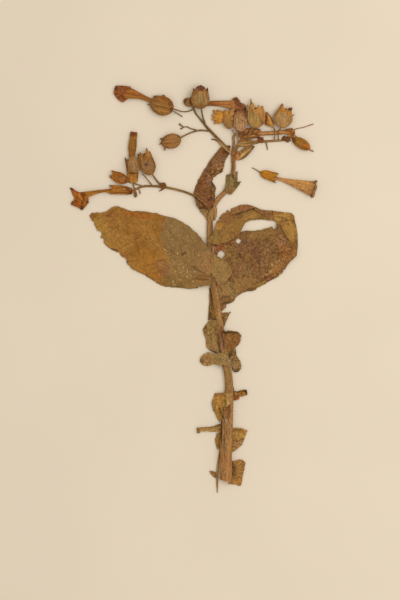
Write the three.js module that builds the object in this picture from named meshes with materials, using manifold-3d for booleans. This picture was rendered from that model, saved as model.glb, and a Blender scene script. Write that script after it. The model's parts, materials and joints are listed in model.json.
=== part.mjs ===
// A cut flowering shoot of tobacco, pressed and dried, lying flat. Millimetres, +X to the right,
// +Y from the cut foot to the top of the shoot, +Z up from the surface that it lies on.
// Every point below is [x, y, ...] on the flattened shoot. Leaves, calyxes and fruits rest on z = 0
// or, where they cross another part, just above it.
import * as THREE from "three";
import { mergeVertices } from "three/addons/utils/BufferGeometryUtils.js";
import Module from "manifold-3d";

const wasm = await Module();
wasm.setup();

const GAP = 0.3; // clearance between parts that touch
const WELD = 1e-4; // vertices closer than this are one
const STEM_FLATNESS = 0.56; // pressed height of the stem over its width
const TWIG_FLATNESS = 0.8; // the same for boughs and flower stalks
const LARGE_LEAF = 1.1; // thickness of the largest leaf
const LEAF = 0.9; // thickness of the other leaves
const SCRAP = 0.8; // thickness of withered leaf remains
const POD_BRACT_THICKNESS = 1.2;
const NODE_LEAF_THICKNESS = 1.6;
const PETALS = 1.6; // thickness of the folded petals at a mouth
const FOLDED_BRACT_THICKNESS = 2.2;
const STEM_SIDES = 8;
const STEM_RINGS = 46;
const TWIG_SIDES = 6;
const TWIG_RINGS = 3; // rings from one point of a stalk to the next
const BOUGH_RINGS = 2; // the same for boughs, which have more points
const BLADE_COLUMNS = 2; // columns from one rib of a leaf to the next
const POD_SIDES = 10; // two for each of the five teeth of a calyx
const CALYX_RIM = 0.93; // the share of a calyx past which it is toothed
const CALYX_WALL = 0.14; // thickness of its wall, as a share of half its width
const CALYX_NOTCH = 0.06; // depth of the notches between teeth, as a share of its length
const EVEN_TEETH = [0.12, 0.16, 0.1, 0.14, 0.18];
const TOOTH_LEAN = 0.9; // how far the tip of a tooth leans in
const COROLLA_RIM = 0.97; // the share of a corolla past which it is lobed
const SPINE_END = 0.97; // past its last point a spine runs on as it does from this share of it
const SLEEVE = 0.4; // the share of a corolla's tube that may lie inside its calyx
const THROUGH = 20; // deep enough to cut right through anything here

const finishes = {
  stem: { color: 0x8f6839, roughness: 0.85 },
  green_leaf: { color: 0x8f6a3e, roughness: 0.9 },
  brown_leaf: { color: 0x7b5531, roughness: 0.9 },
  withered_leaf: { color: 0x96703f, roughness: 0.95 },
  calyx: { color: 0xa06c34, roughness: 0.85 },
  capsule: { color: 0x92683d, roughness: 0.7 },
  corolla: { color: 0xa76f36, roughness: 0.8 },
};

// ---- Solids ----------------------------------------------------------------------------------

// A geometry as a solid with its faces out, without the slivers at a lathe's poles.
function solidOf(geometry) {
  const bare = geometry.clone();
  bare.deleteAttribute("normal");
  bare.deleteAttribute("uv");
  const merged = mergeVertices(bare, WELD);
  const kept = [];
  for (let i = 0; i < merged.index.count; i += 3) {
    const [a, b, c] = [0, 1, 2].map((k) => merged.index.getX(i + k));
    if (a !== b && b !== c && c !== a) kept.push(a, b, c);
  }
  const make = (triangles) =>
    new wasm.Manifold(
      new wasm.Mesh({
        numProp: 3,
        vertProperties: merged.attributes.position.array,
        triVerts: new Uint32Array(triangles),
      }),
    );
  const solid = make(kept);
  return solid.volume() > 0 ? solid : make(kept.reverse());
}

// The largest body of a solid: a loose scrap left by a cut is dropped.
function largest(solid) {
  return solid.decompose().reduce((a, b) => (a.volume() > b.volume() ? a : b));
}

function fuse(solids) {
  return largest(solids.reduce((a, b) => a.add(b)));
}

function cutClear(solid, cutters) {
  return largest(cutters.reduce((a, b) => a.subtract(b), solid));
}

// The geometry of a finished solid, pressed flat where its underside would dip below the surface.
function geometryOf(solid) {
  const mesh = solid.getMesh();
  const geometry = new THREE.BufferGeometry()
    .setAttribute("position", new THREE.BufferAttribute(new Float32Array(mesh.vertProperties), 3))
    .setIndex(new THREE.BufferAttribute(new Uint32Array(mesh.triVerts), 1));
  return reshape(geometry, (x, y, z) => ({ x, y, z: Math.max(z, 0) }));
}

// Moves every vertex of a geometry to the place that a function gives it.
function reshape(geometry, place) {
  const at = geometry.attributes.position;
  for (let i = 0; i < at.count; i++) {
    const { x, y, z } = place(at.getX(i), at.getY(i), at.getZ(i));
    at.setXYZ(i, x, y, z);
  }
  return geometry;
}

// A smooth line through points. at(t) is a place on it, and side(t) points across it, level.
function lineThrough(points) {
  const curve = new THREE.CatmullRomCurve3(points, false, "centripetal");
  const across = new THREE.Vector3();
  return {
    at: (t) => curve.getPoint(THREE.MathUtils.clamp(t, 0, 1)),
    side: (t) => {
      const along = curve.getTangent(THREE.MathUtils.clamp(t, 0, 1));
      return across.set(along.y, -along.x, 0).normalize().clone();
    },
  };
}

// Reads a list of values as one smooth function of t from 0 to 1.
function smoothList(values) {
  const last = values.length - 1;
  return (t) => {
    const at = THREE.MathUtils.clamp(t, 0, 1) * last;
    const i = Math.min(Math.floor(at), last - 1);
    return THREE.MathUtils.lerp(values[i], values[i + 1], at - i);
  };
}

// ---- Kinds of part ---------------------------------------------------------------------------

// A tapering limb: line is [x, y, width, lift] points, where lift raises it off the surface.
// rings is how many it has in all, and grow makes it thicker all round.
function limb(line, { flatness = TWIG_FLATNESS, sides = TWIG_SIDES, rings, grow = 0 } = {}) {
  const width = smoothList(line.map((p) => p[2]));
  const path = lineThrough(
    line.map(([x, y, w, lift = 0]) => new THREE.Vector3(x, y, lift + (w * flatness) / 2)),
  );
  const steps = rings ?? TWIG_RINGS * (line.length - 1);
  return solidOf(
    reshape(new THREE.CylinderGeometry(1, 1, 1, sides, steps), (x, y, z) => {
      const t = y + 0.5;
      const half = width(t) / 2;
      return path
        .at(t)
        .addScaledVector(path.side(t), x * (half + grow))
        .add(new THREE.Vector3(0, 0, z * (half * flatness + grow)));
    }),
  );
}

// A leaf blade between two edges. Each rib is [edge, middle, edge] or [edge, edge], and each point
// is [x, y, underside], so that a blade can climb over what lies under it.
function blade(ribs, { thickness = SCRAP, columns = BLADE_COLUMNS, rows = 4 } = {}) {
  const points = ribs.map((rib) => rib.map(([x, y, z = 0]) => new THREE.Vector3(x, y, z)));
  const full = points.map((rib) =>
    rib.length === 3 ? rib : [rib[0], rib[0].clone().lerp(rib[1], 0.5), rib[1]],
  );
  const [low, middle, high] = [0, 1, 2].map((k) => lineThrough(full.map((rib) => rib[k])));
  const stations = columns * (ribs.length - 1);
  return solidOf(
    reshape(new THREE.BoxGeometry(1, 1, 1, stations, rows, 1), (x, y, z) => {
      const along = x + 0.5;
      const across = 2 * y;
      const edge = across < 0 ? low.at(along) : high.at(along);
      const place = middle.at(along).lerp(edge, Math.abs(across));
      place.z = Math.max(place.z, 0) + (z + 0.5) * thickness;
      return place;
    }),
  );
}

// A turned form, pressed flat and laid along a line: spine is [x, y, z] points from its base, and
// outline is [share of the length, share of the width] points, from the base round to the axis.
// ring(share, k) may move a point of side k: it returns [more length, width factor], as shares.
function pressed(spine, width, height, outline, ring = () => [0, 1]) {
  const path = lineThrough(spine.map(([x, y, z]) => new THREE.Vector3(x, y, z)));
  const turned = new THREE.LatheGeometry(
    outline.map(([share, radius]) => new THREE.Vector2(radius, share)),
    POD_SIDES,
  );
  const side = (x, z) =>
    Math.round((Math.atan2(x, z) / (2 * Math.PI)) * POD_SIDES + POD_SIDES) % POD_SIDES;
  return solidOf(
    reshape(turned, (x, y, z) => {
      const onAxis = Math.hypot(x, z) < WELD;
      const [longer, wider] = onAxis ? [0, 1] : ring(y, side(x, z));
      const t = y + longer;
      const over = Math.max(t - 1, 0) / (1 - SPINE_END);
      const tip = path.at(1).sub(path.at(SPINE_END)).multiplyScalar(over);
      return path
        .at(t)
        .add(tip)
        .addScaledVector(path.side(t), (x * wider * width) / 2)
        .add(new THREE.Vector3(0, 0, (z * wider * height) / 2));
    }),
  );
}

const CAPSULE_OUTLINE = [
  [0.1, 0], [0.16, 0.34], [0.34, 0.68], [0.56, 0.78], [0.78, 0.66], [0.92, 0.42], [1.0, 0],
];
const BUD_OUTLINE = [
  [0, 0], [0.04, 0.4], [0.25, 0.88], [0.5, 1], [0.75, 0.85], [0.94, 0.45], [1, 0],
];
const THROAT = [[0.98, 0.74], [0.92, 0.42], [0.86, 0]]; // back in from a corolla's rim

// A cup-shaped calyx, from its stalk to a mouth of the given share of its width. teeth are the five
// lengths past the mouth, as shares of the calyx, from the upper right one round under it.
function calyx(spine, width, height, { mouth = 0.8, teeth = EVEN_TEETH } = {}) {
  const outline = [
    [0, 0], [0.02, 0.3], [0.12, 0.66], [0.32, 0.96], [0.55, 1], [0.8, (1 + mouth) / 2], [0.94, mouth],
    [0.94, mouth - CALYX_WALL], [0.6, 0.81], [0.34, 0.76], [0.22, 0.62], [0.12, 0.36], [0.07, 0],
  ];
  return pressed(spine, width, height, outline, (share, k) => {
    if (share < CALYX_RIM) return [0, 1];
    return k % 2 ? [teeth[(k - 1) / 2], TOOTH_LEAN] : [-CALYX_NOTCH, 1];
  });
}

// The fruit inside a calyx of the same spine and width, clear of its wall.
function capsule(spine, width, height, { reach = 1 } = {}) {
  const foot = CAPSULE_OUTLINE[0][0];
  const stretch = (reach - foot) / (1 - foot);
  const outline = CAPSULE_OUTLINE.map(([share, radius]) => [foot + (share - foot) * stretch, radius]);
  return pressed(spine, width - 2 * GAP, height - 2 * GAP, outline);
}

// A closed bud, or a fruit that fills its calyx to the mouth.
function bud(spine, width, height) {
  return pressed(spine, width, height, BUD_OUTLINE);
}

// A corolla pressed flat: widths are even steps along it, from its base to its mouth, which is
// hollow and has five lobes.
function trumpet(spine, widths, height, { lobes = 0.1 } = {}) {
  const mouth = Math.max(...widths);
  const last = widths.length - 1;
  const rim = widths[last] / mouth;
  const outline = [
    [0, 0], ...widths.map((width, i) => [i / last, width / mouth]),
    ...THROAT.map(([share, radius]) => [share, radius * rim]),
  ];
  return pressed(spine, mouth, height, outline, (share, k) => {
    if (share < COROLLA_RIM) return [0, 1];
    return k % 2 ? [lobes / 2, 1 + lobes] : [-lobes / 4, 1 - lobes];
  });
}

// A flat outline, to be cut right through whatever lies there.
function prism(corners) {
  const shape = new THREE.Shape(corners.map(([x, y]) => new THREE.Vector2(x, y)));
  const through = new THREE.ExtrudeGeometry(shape, { depth: THROUGH, bevelEnabled: false });
  return solidOf(through.translate(0, 0, -THROUGH / 2));
}

// ---- Stem and boughs -------------------------------------------------------------------------

const STEM_LINE = [
  [24.7, -152, 9.8], [24.8, -137, 9.4], [24.8, -125, 9.2], [25.5, -107, 9.2], [26.4, -93, 8],
  [27.3, -80, 6.4], [26.8, -68, 6], [24.6, -57, 6], [22.3, -44, 5.8], [20.6, -30, 5.2],
  [18.2, -15, 5.2], [15.8, 0, 5], [14, 14, 4.8], [12.7, 28, 4.6], [12.5, 42, 4.6], [12.8, 52, 4.6],
  [14.6, 61.4, 4.2], [19.6, 68.8, 3.7], [25, 74.6, 3.5], [29.2, 83, 3.4], [30.6, 92, 3.3],
  [30.5, 100, 3.2], [30.6, 106, 3],
];
const STEM = { flatness: STEM_FLATNESS, sides: STEM_SIDES, rings: STEM_RINGS };
const FOOT_CUT = [[17, -145.2], [33, -150.2], [33, -156], [17, -156]]; // the slanted cut at the foot
const AXIL_BUD = [[15.6, 51.6, 1.6, 0], [16.4, 55, 2.6, 0], [16.9, 59, 2.4, 0], [16.9, 63, 1, 0.4]];

const boughs = {
  left_bough: {
    line: [
      [28.6, 103, 2.5, 1.2], [25, 107.3, 2.5, 1.4], [20.6, 112, 2.4, 0.7], [13.8, 119.4, 2, 0],
      [9.4, 124.2, 1.8, 0], [4.4, 130.2, 1.4, 0], [1, 134.6, 1.1, 0.2], [-1, 139, 1, 1],
    ],
    twigs: [
      // the stalk of the round fruit at the top, and of the hidden flower beside it
      [[9.3, 124.4, 1.4, 0], [7.4, 130, 1.2, 1.4], [5.9, 136.2, 1.2, 4.6]],
      [[2.4, 133, 1, 0.2], [0.6, 136.2, 0.9, 0.5], [0.2, 138.8, 0.8, 0.6]],
      // the stalk of the low fruit, and two small buds on a twig from it
      [[13.2, 119.9, 1.3, 0.2], [5, 120.6, 1.3, 0.2], [-2, 118.8, 1.1, 0.6], [-9.2, 115, 1, 2.4]],
      [
        [3, 120.8, 1, 0.3], [-2, 122, 0.9, 0.2], [-5, 123.4, 0.9, 0], [-7.6, 123.3, 0.8, 0],
        [-11, 125.8, 1.6, 0],
      ],
      [[-7, 123.4, 0.7, 0], [-8.6, 122.3, 0.8, 0], [-10, 121.8, 1.4, 0]],
      // the stalk of the far flower, with a broken one beside it
      [
        [-0.4, 136.8, 1, 0.6], [-3, 135.4, 0.8, 0.6], [-8, 134.9, 0.8, 1], [-12, 135.8, 0.9, 2],
        [-15.5, 136.9, 1, 2.9],
      ],
      [[-13.2, 136, 0.8, 2], [-12, 134, 0.8, 0.8], [-9, 131.8, 0.8, 0]],
      // a bare stalk
      [[27, 103.4, 1.3, 1.6], [21.2, 109.6, 1.1, 1.2], [17.6, 112.9, 1, 0.2], [13.6, 114, 0.9, 0]],
    ],
  },
  right_bough: {
    line: [
      [31.4, 105.2, 2.6, 0.2], [36, 109.8, 2.2, 0], [41.2, 111, 2, 0], [47, 111.3, 1.9, 0],
      [52, 111.9, 1.8, 0], [60, 112.5, 1.6, 0], [68.4, 112.9, 1.4, 0],
    ],
    twigs: [
      [
        [32, 106.6, 1.3, 0.2], [34.4, 112, 1.1, 1], [33.2, 115.6, 1, 2], [31, 118.6, 1, 2.2],
        [29.2, 121.2, 1, 1.6],
      ],
      [[40.4, 111, 1.2, 0.2], [41.8, 114.6, 1.1, 2.6], [42.9, 118.6, 1, 3.6], [45.6, 121.9, 1.1, 2.8]],
      [[65.2, 112.9, 1.1, 0.2], [64.8, 116.4, 1, 2.8], [65.2, 119.6, 1, 3.4], [66.8, 122, 1.1, 3]],
      [[61.6, 112.6, 1, 0.2], [62.2, 116.4, 1, 2.8], [62.4, 119.6, 0.9, 3], [61.5, 122.8, 0.9, 0.8]],
      [[55.4, 112.2, 1, 0.2], [56, 109.4, 0.9, 0], [56.8, 105.6, 0.8, 0]],
      // two buds that never opened
      [[49, 112.4, 1.6, 0], [50.4, 112.9, 3.4, 0], [52.4, 113.1, 3.4, 0], [54, 112.8, 1.6, 0]],
      [[67.6, 113.6, 2, 0], [69.4, 114.1, 3.6, 0], [72, 114, 3.4, 0], [74.4, 112.4, 1.2, 0]],
    ],
  },
  lower_bough: {
    line: [
      [14, 58.8, 2, 0], [8.5, 64.2, 1.9, 0], [3, 69, 1.9, 0], [-4, 72.6, 1.8, 0], [-12, 75, 1.7, 0],
      [-20, 76.8, 1.8, 0], [-25, 77.6, 2.2, 0], [-31, 78, 1.7, 0], [-38, 77.8, 1.6, 0], [-42, 76.6, 1.4, 0],
      [-46, 74.7, 1.3, 0.2],
    ],
    twigs: [
      [[-25.4, 79, 1.5, 0.1], [-28.4, 82.6, 1.3, 1.2], [-31, 86, 1.2, 2]],
      [[-31.4, 78.4, 1, 0.2], [-34.8, 82.6, 0.9, 1.8], [-39.2, 87.6, 0.9, 3.4]],
      [[-38.6, 77.8, 1.1, 0.2], [-43.4, 79.3, 1, 0.6], [-49.2, 81.3, 1, 1.2]],
      [[-45, 75.6, 1.1, 0.2], [-45.9, 78, 1, 0.3], [-46, 80.2, 1, 0.6]],
      [[-42.6, 76.2, 0.8, 0.2], [-41.2, 74.4, 0.8, 0], [-40.8, 72, 1.2, 0]],
      [[-45, 75.2, 1, 0.2], [-44.3, 73, 1.6, 0], [-44.3, 71, 2.8, 0], [-44.6, 69.2, 1, 0]],
    ],
  },
};
const MIDDLE_BOUGH = [
  [30.7, 105, 2.4, 0], [30.9, 112, 1.9, 0.2], [30.9, 116.4, 1.7, 0.6], [33.4, 118.4, 1.5, 1.4],
];
const SPLINTER = [
  [20.3, -123, 1, 0.4], [19, -132, 1.4, 0], [18.2, -141, 1.6, 0], [18.2, -150, 1.4, 0],
  [18.3, -157, 0.6, 0],
];
const NODE_LEAF = [ // the small dried leaf at the joint of the lower bough
  [[-26.6, 74], [-23.6, 76.4], [-26.2, 80.4]],
  [[-24.6, 74.4], [-22.4, 77.6], [-24.8, 80.8]],
  [[-21.4, 76.4], [-20.8, 78.6], [-21.6, 80.6]],
];

const stem = fuse([limb(STEM_LINE, STEM), limb(AXIL_BUD)]).subtract(prism(FOOT_CUT));
const stemSpace = fuse([limb(STEM_LINE, { ...STEM, grow: GAP }), limb(AXIL_BUD, { grow: GAP })]);

const parts = { main_stem: ["stem", stem] };
const boughSpaces = [];
for (const [name, { line, twigs }] of Object.entries(boughs)) {
  const solids = [line, ...twigs].map((points) =>
    limb(points, { rings: BOUGH_RINGS * (points.length - 1) }),
  );
  if (name === "lower_bough") {
    solids.push(blade(NODE_LEAF, { thickness: NODE_LEAF_THICKNESS, rows: 2, columns: 1 }));
  }
  parts[name] = ["stem", cutClear(fuse(solids), [stemSpace])];
  boughSpaces.push(fuse([line, ...twigs].map((points) => limb(points, { grow: GAP }))));
}
parts.middle_bough = ["stem", cutClear(limb(MIDDLE_BOUGH), [stemSpace, ...boughSpaces])];
parts.stem_splinter = ["stem", cutClear(limb(SPLINTER), [stemSpace])];

// ---- Leaves ----------------------------------------------------------------------------------

const LEFT_LEAF = [ // from the lobe that clasps the stem out to the tip
  [[28.6, 9.4, 1.5], [29.2, 11, 1.5], [29.8, 13, 1.5]],
  [[23.6, 4, 2.2], [22, 12, 2.3], [25.6, 20.3, 1.6]],
  [[19, 0.8, 3.2], [15.6, 12.4, 3.2], [17.6, 25, 3]],
  [[10.6, 1.4, 2.8], [8.4, 14.4, 2.6], [9, 33.8, 3]],
  [[-1.5, -0.7, 0.3], [-3, 20, 0.4], [3, 41.6, 1]],
  [[-14, 0.4], [-14, 26], [-9, 51]],
  [[-25, 2], [-25, 32], [-22, 55.4]],
  [[-35.4, 8.6], [-36, 38], [-36, 58.4]],
  [[-47.6, 15.4], [-47, 43], [-49, 59.6]],
  [[-56, 25.4], [-57, 47.6], [-59, 62.6]],
  [[-66.5, 32.4], [-66, 51.4], [-68.5, 58.2]],
  [[-73, 45], [-73, 54], [-74.5, 57.8]],
  [[-79, 54.4], [-79, 55.8], [-78.2, 57.4]],
];
const RIGHT_BLADE = [ // the part of the right leaf that is folded back towards the stem
  [[20.4, -13.4], [17.4, 4], [15.4, 33.4]],
  [[25, -12.4], [24, 10], [22, 36]],
  [[30, -10.8], [31, 13], [29, 39.4]],
  [[33, -7], [37, 17], [34, 42.4]],
  [[38.4, -3.6], [44, 20], [39.5, 43.8]],
  [[46, -1.8], [51, 23], [48, 44]],
  [[53, 2], [59, 26, 0.4], [57, 46, 0.6]],
  [[60, 6.2], [67, 28, 1], [63.8, 49, 1.5]],
  [[67, 10.4, 0.2], [72, 29, 1.5], [68, 44.4, 1.5]],
  [[73, 19, 0.6], [75.6, 28, 1.5], [73, 36.6, 1.5]],
  [[78.9, 24.4, 1.2], [79.2, 26.4, 1.5], [79.2, 29, 1.5]],
];
const RIGHT_FOLD = [ // the part that leaves the stem, rounds the gap and turns under at the right
  [[10.4, 35.2, 3], [11, 38.2, 3]],
  [[17.4, 33, 2.6], [15.2, 42, 2.6]],
  [[24, 34.6, 1.5], [18.2, 51, 0.6]],
  [[30, 37.2, 1.5], [23.6, 58, 0.2]],
  [[36, 43, 1.5], [30, 61.4]],
  [[40.6, 50.4, 0.6], [41, 64]],
  [[49, 52.1], [52, 60.2]],
  [[57, 51.8], [62, 59]],
  [[62.4, 50.6], [69, 58]],
  [[64.6, 48], [75.8, 56.8]],
  [[67.6, 42.4], [78.4, 48.5]],
  [[71.4, 36.4], [79.8, 39]],
  [[75.4, 31], [79.9, 33]],
  [[77.6, 27.4], [79.4, 28.2]],
];
const BLADE_HOLES = [ // gaps eaten through the folded-back part
  [[33, 34.4], [36, 34], [36.6, 37], [33.2, 37.4]],
  [[18.2, 25.6], [23.4, 21.6], [24.2, 27.4], [19.4, 28]],
];
const FOLD_NOTCH = [[25.4, 62.4], [27.8, 57.2], [28.6, 57.4], [29.2, 62.8]];
const UPPER_LEAF = [
  [[14.4, 61, 2.4], [10, 60, 2.4], [4.4, 59.2, 0.6]],
  [[15.8, 66.6, 1.6], [9, 67.6, 1.8], [0.6, 68.6, 2]],
  [[16.9, 76], [8.8, 76], [1, 75.6]],
  [[14.8, 83.4], [10.8, 85], [4.8, 85]],
  [[22.2, 89.4], [15.5, 94], [10.2, 94]],
  [[24, 96.6], [20.4, 101], [16, 101.8]],
  [[27, 102.6], [25, 106], [20.8, 107.6]],
  [[28.4, 108], [28, 108.8], [25.4, 109]],
];
const STEM_BRACT = [
  [[25, 86.4, 0], [28, 86.6, 2.4], [31, 86.6, 2.4]],
  [[24.6, 80.4, 0], [28, 81, 2.4], [31.6, 80, 1.4]],
  [[24, 75.8, 2.4], [27.4, 76, 2.4], [36.2, 81.6, 0]],
  [[25, 73.2, 2.2], [28, 74, 1], [33.2, 76.4, 0]],
  [[27.6, 71.2, 0], [29, 72, 0], [30, 72.8, 0]],
];
const STEM_BRACT_LOBE = [
  [[30.4, 80.6], [34, 79.6]],
  [[32, 85], [33.8, 85.4]],
  [[32.6, 89], [34, 89.4]],
];
const POD_BRACT = [ // a boat-shaped bract on the fork
  [[34.4, 97.4, 0], [33.4, 98.4, 0], [32.6, 99.8, 0]],
  [[38.6, 99, 0.8], [36.8, 101.4, 0], [34.8, 103.8, 0.8]],
  [[43.4, 103.2, 0.8], [41, 104.8, 0], [38.6, 107.2, 0.8]],
  [[47, 108, 0.2], [46.2, 108.8, 0], [45.2, 109.2, 0.2]],
];

const holes = BLADE_HOLES.map(prism);
const leftBoughSpace = boughSpaces[0];
Object.assign(parts, {
  left_leaf: ["green_leaf", blade(LEFT_LEAF, { thickness: LARGE_LEAF, rows: 8 })],
  right_leaf_blade: ["brown_leaf",
    cutClear(blade(RIGHT_BLADE, { thickness: LEAF, rows: 8 }), [...holes, stemSpace])],
  right_leaf_fold: ["green_leaf", cutClear(blade(RIGHT_FOLD, { thickness: LEAF }), [prism(FOLD_NOTCH)])],
  upper_leaf: ["brown_leaf", cutClear(blade(UPPER_LEAF, { thickness: LEAF, rows: 6 }), [
    stemSpace, leftBoughSpace, limb(boughs.lower_bough.line, { grow: GAP }),
  ])],
  stem_bract: ["green_leaf",
    cutClear(fuse([blade(STEM_BRACT, { rows: 6 }), blade(STEM_BRACT_LOBE, { rows: 2 })]), [stemSpace])],
  pod_bract: ["withered_leaf", cutClear(blade(POD_BRACT, { thickness: POD_BRACT_THICKNESS }), [
    stemSpace, ...boughSpaces,
  ])],
});

// ---- Remains of lower leaves, along the stem from the top down -------------------------------

const withered = {
  wing_scrap: [[[12.2, 0], [14, 0]], [[12, -10], [15.6, -10]], [[11.2, -23.6], [17.4, -24]]],
  small_flap: [[[20.6, -14], [24.6, -12.9]], [[20.6, -17.6], [23.6, -15.8]]],
  thorn_scrap: [[[20.4, -19.2], [28.6, -18.4]], [[21, -24.4], [26, -24.2]], [[21.4, -31.4], [22.8, -31]]],
  clasp_scrap: [
    [[12, -24.6, 0], [19.6, -24.6, 3.2]],
    [[7.4, -32, 0], [20, -32, 3.3]],
    [[9.4, -39, 0], [19.6, -38, 3.3]],
    [[10.2, -45.4, 0], [19.6, -44, 3.4]],
    [[14.6, -48.8, 0], [18.6, -49, 1.4]],
  ],
  round_scrap: [
    [[25.6, -59, 3.6], [25.4, -50, 3.6]],
    [[21.4, -59.6, 3.6], [20, -49.4, 3.6]],
    [[15.4, -58.6, 0.4], [15, -50, 0.8]],
    [[9.4, -60, 0], [11.4, -48.8, 0]],
    [[5, -57, 0], [5.8, -52.4, 0]],
  ],
  fan_scrap: [
    [[21.8, -33, 3.4], [23.8, -46, 3.6]],
    [[27, -32.6, 0.4], [28.6, -46.8, 0.4]],
    [[34.6, -34, 0], [33, -43, 0]],
    [[36.2, -36, 0], [35, -41, 0]],
  ],
  curled_scrap: [
    [[25.6, -47.4, 1], [32.4, -49.8, 1.4]],
    [[27, -52.6, 0], [31.6, -51.6, 0.6]],
    [[28.2, -57.6, 0], [36, -56.4, 0]],
    [[29.4, -62.4, 0], [35.8, -61.6, 0]],
    [[31.6, -64.4, 0], [34, -64, 0]],
  ],
  hook_scrap: [
    [[30, -85.6], [30.6, -76]],
    [[33, -86], [33, -79]],
    [[37.6, -83.4], [37, -78]],
    [[41.4, -82], [40.6, -78]],
  ],
  broad_scrap: [
    [[16.4, -80.4, 0], [22, -80.2, 1.6], [30, -79.8, 4.6]],
    [[14, -87.6, 0], [21, -87, 2], [28.6, -87, 4.8]],
    [[15.4, -94, 0], [19.2, -91.6, 1.4], [25.6, -91, 4.9]],
    [[19.4, -99.4, 0], [20.4, -97, 0.6], [21, -95, 2.6]],
  ],
  arm_scrap: [
    [[21.4, -110.4], [21, -103.6]],
    [[14.4, -110.2], [14.6, -105.8]],
    [[9, -109.6], [8.6, -106.4]],
    [[2.8, -111.4], [2.4, -107]],
  ],
  sheath_scrap: [[[18, -111], [21.4, -111]], [[16.8, -117.4], [21, -117]], [[18.2, -123.4], [21, -122.6]]],
  wedge_scrap: [
    [[29, -107.2], [28.4, -126.6]],
    [[33.4, -106.8], [32.2, -123.6]],
    [[37.6, -107.2], [37.2, -119.4]],
    [[41.4, -109], [39.8, -113]],
  ],
  foot_scrap: [
    [[28.4, -133.2], [27, -150.2]],
    [[32, -132], [31, -150.4]],
    [[36.8, -131.4], [35.8, -151.6]],
    [[40, -133.6], [37.6, -144]],
  ],
  heel_scrap: [[[17.4, -140.8], [17.4, -145.8]], [[12.6, -139.8], [13.4, -142.8]]],
};
const OVER_STEM = ["clasp_scrap", "fan_scrap", "broad_scrap"]; // these climb over the stem
const splinterSpace = limb(SPLINTER, { grow: GAP });
for (const [name, ribs] of Object.entries(withered)) {
  const rows = OVER_STEM.includes(name) ? 6 : 2;
  parts[name] = ["withered_leaf", cutClear(blade(ribs, { rows }), [stemSpace, splinterSpace])];
}

// ---- Fruits, each a capsule in its calyx -----------------------------------------------------

const fruits = {
  top_fruit: {
    spine: [[5.8, 136.6, 5.2], [5.2, 144, 5.6], [5.4, 151.8, 5.6]], width: 14, height: 5.8, reach: 1.2,
    teeth: [0.04, 0.12, 0.04, 0.12, 0.1],
  },
  right_fruit: {
    spine: [[67.2, 122.4, 3.7], [68.6, 130, 3.2], [71, 137.6, 3.2]], width: 14.8, height: 6.2, reach: 0.82,
    mouth: 0.5, teeth: [0.1, 0.02, 0.02, 0.22, 0.04],
  },
  middle_fruit: {
    spine: [[46.4, 122.3, 3.4], [48, 130.6, 3.2], [47, 138, 3.2]], width: 14, height: 6.2, reach: 1,
    mouth: 0.76, teeth: [0.1, 0.14, 0.04, 0.4, 0.06],
  },
  pale_fruit: {
    spine: [[35.6, 118.4, 2.8], [35.8, 127, 3], [36, 135.8, 2.8]], width: 10.6, height: 5.6, reach: 1.06,
    teeth: [0.06, 0.12, 0.02, 0.1, 0.04],
  },
  brown_fruit: {
    spine: [[28.2, 121.5, 2.2], [26.6, 128, 2.4], [26.8, 134.2, 2.2]], width: 8, height: 4.4, reach: 1,
    teeth: [0.06, 0.1, 0.02, 0.12, 0.06],
  },
  left_fruit: {
    spine: [[-31.3, 86.4, 2.6], [-34.8, 94, 2.6], [-37.8, 103.6, 2.4]], width: 12.2, height: 5, reach: 0.86,
    teeth: [0.18, 0.06, 0.04, 0.08, 0.1],
  },
  small_fruit: {
    spine: [[-49.8, 81.5, 1.8], [-57, 84.4, 1.8], [-62.4, 87, 1.6]], width: 8.2, height: 3.4, reach: 0.72,
    mouth: 0.66, teeth: [0.16, 0.2, 0.04, 0.14, 0.16],
  },
};
for (const [name, { spine, width, height, reach, ...rim }] of Object.entries(fruits)) {
  parts[`${name}_calyx`] = ["calyx", cutClear(calyx(spine, width, height, rim), boughSpaces)];
  parts[`${name}_capsule`] = ["capsule", capsule(spine, width, height, { reach })];
}

// ---- Closed buds and fruits that fill their calyx --------------------------------------------

const FAR_CALYX = [[[-15.9, 137.1, 3.4], [-24, 139.4, 3], [-33.2, 142.4, 2.4]], 14.8, 5.6];
const closed = {
  low_fruit: [[[-9.6, 114.7, 2.9], [-16.6, 112.3, 2.4], [-24.9, 111.2, 2.2]], 11.4, 4.4],
  round_fruit: [[[-41, 88.6, 4], [-45.4, 93.8, 4.7], [-46.8, 100.8, 4.7]], 10, 3.8],
  tip_bud: [[[-1.3, 139.6, 1.6], [-4.2, 142, 1.8], [-7.6, 143.8, 1.6]], 6.4, 3],
  orange_calyx: [[[22.7, 130.4, 1.8], [19, 130.8, 1.8], [15.4, 131, 1.8]], 10.6, 3.6],
  fallen_bud: [[[89, 106.2, 2], [82.6, 110.4, 2], [75.6, 114.2, 1.6]], 7.8, 3.8],
  far_flower_calyx: FAR_CALYX,
};
const stalks = {
  low_fruit: [[-21.4, 108.6, 1.6, 1.6], [-21.9, 106.6, 1.5, 1.2], [-22.1, 105, 0.9, 1]],
  fallen_bud: [[88, 107, 1, 1.4], [90.2, 105.2, 1, 0.4], [92, 104.6, 1.2, 0]],
};
for (const [name, [spine, width, height]] of Object.entries(closed)) {
  const solids = [bud(spine, width, height)];
  if (stalks[name]) solids.push(limb(stalks[name]));
  parts[name] = ["calyx", cutClear(fuse(solids), boughSpaces)];
}
const FOLDED_BRACT = [
  [[61, 122.8, 0], [54.9, 124.8, 0]],
  [[61.4, 126, 0], [55.2, 129, 0]],
  [[59.4, 131, 0], [55.4, 132.4, 0]],
  [[56.4, 134.6, 0], [55.3, 134.6, 0]],
];
parts.folded_bract = ["calyx",
  cutClear(blade(FOLDED_BRACT, { thickness: FOLDED_BRACT_THICKNESS, rows: 2 }), boughSpaces)];

// ---- Flowers, each a corolla in its calyx ----------------------------------------------------

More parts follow.
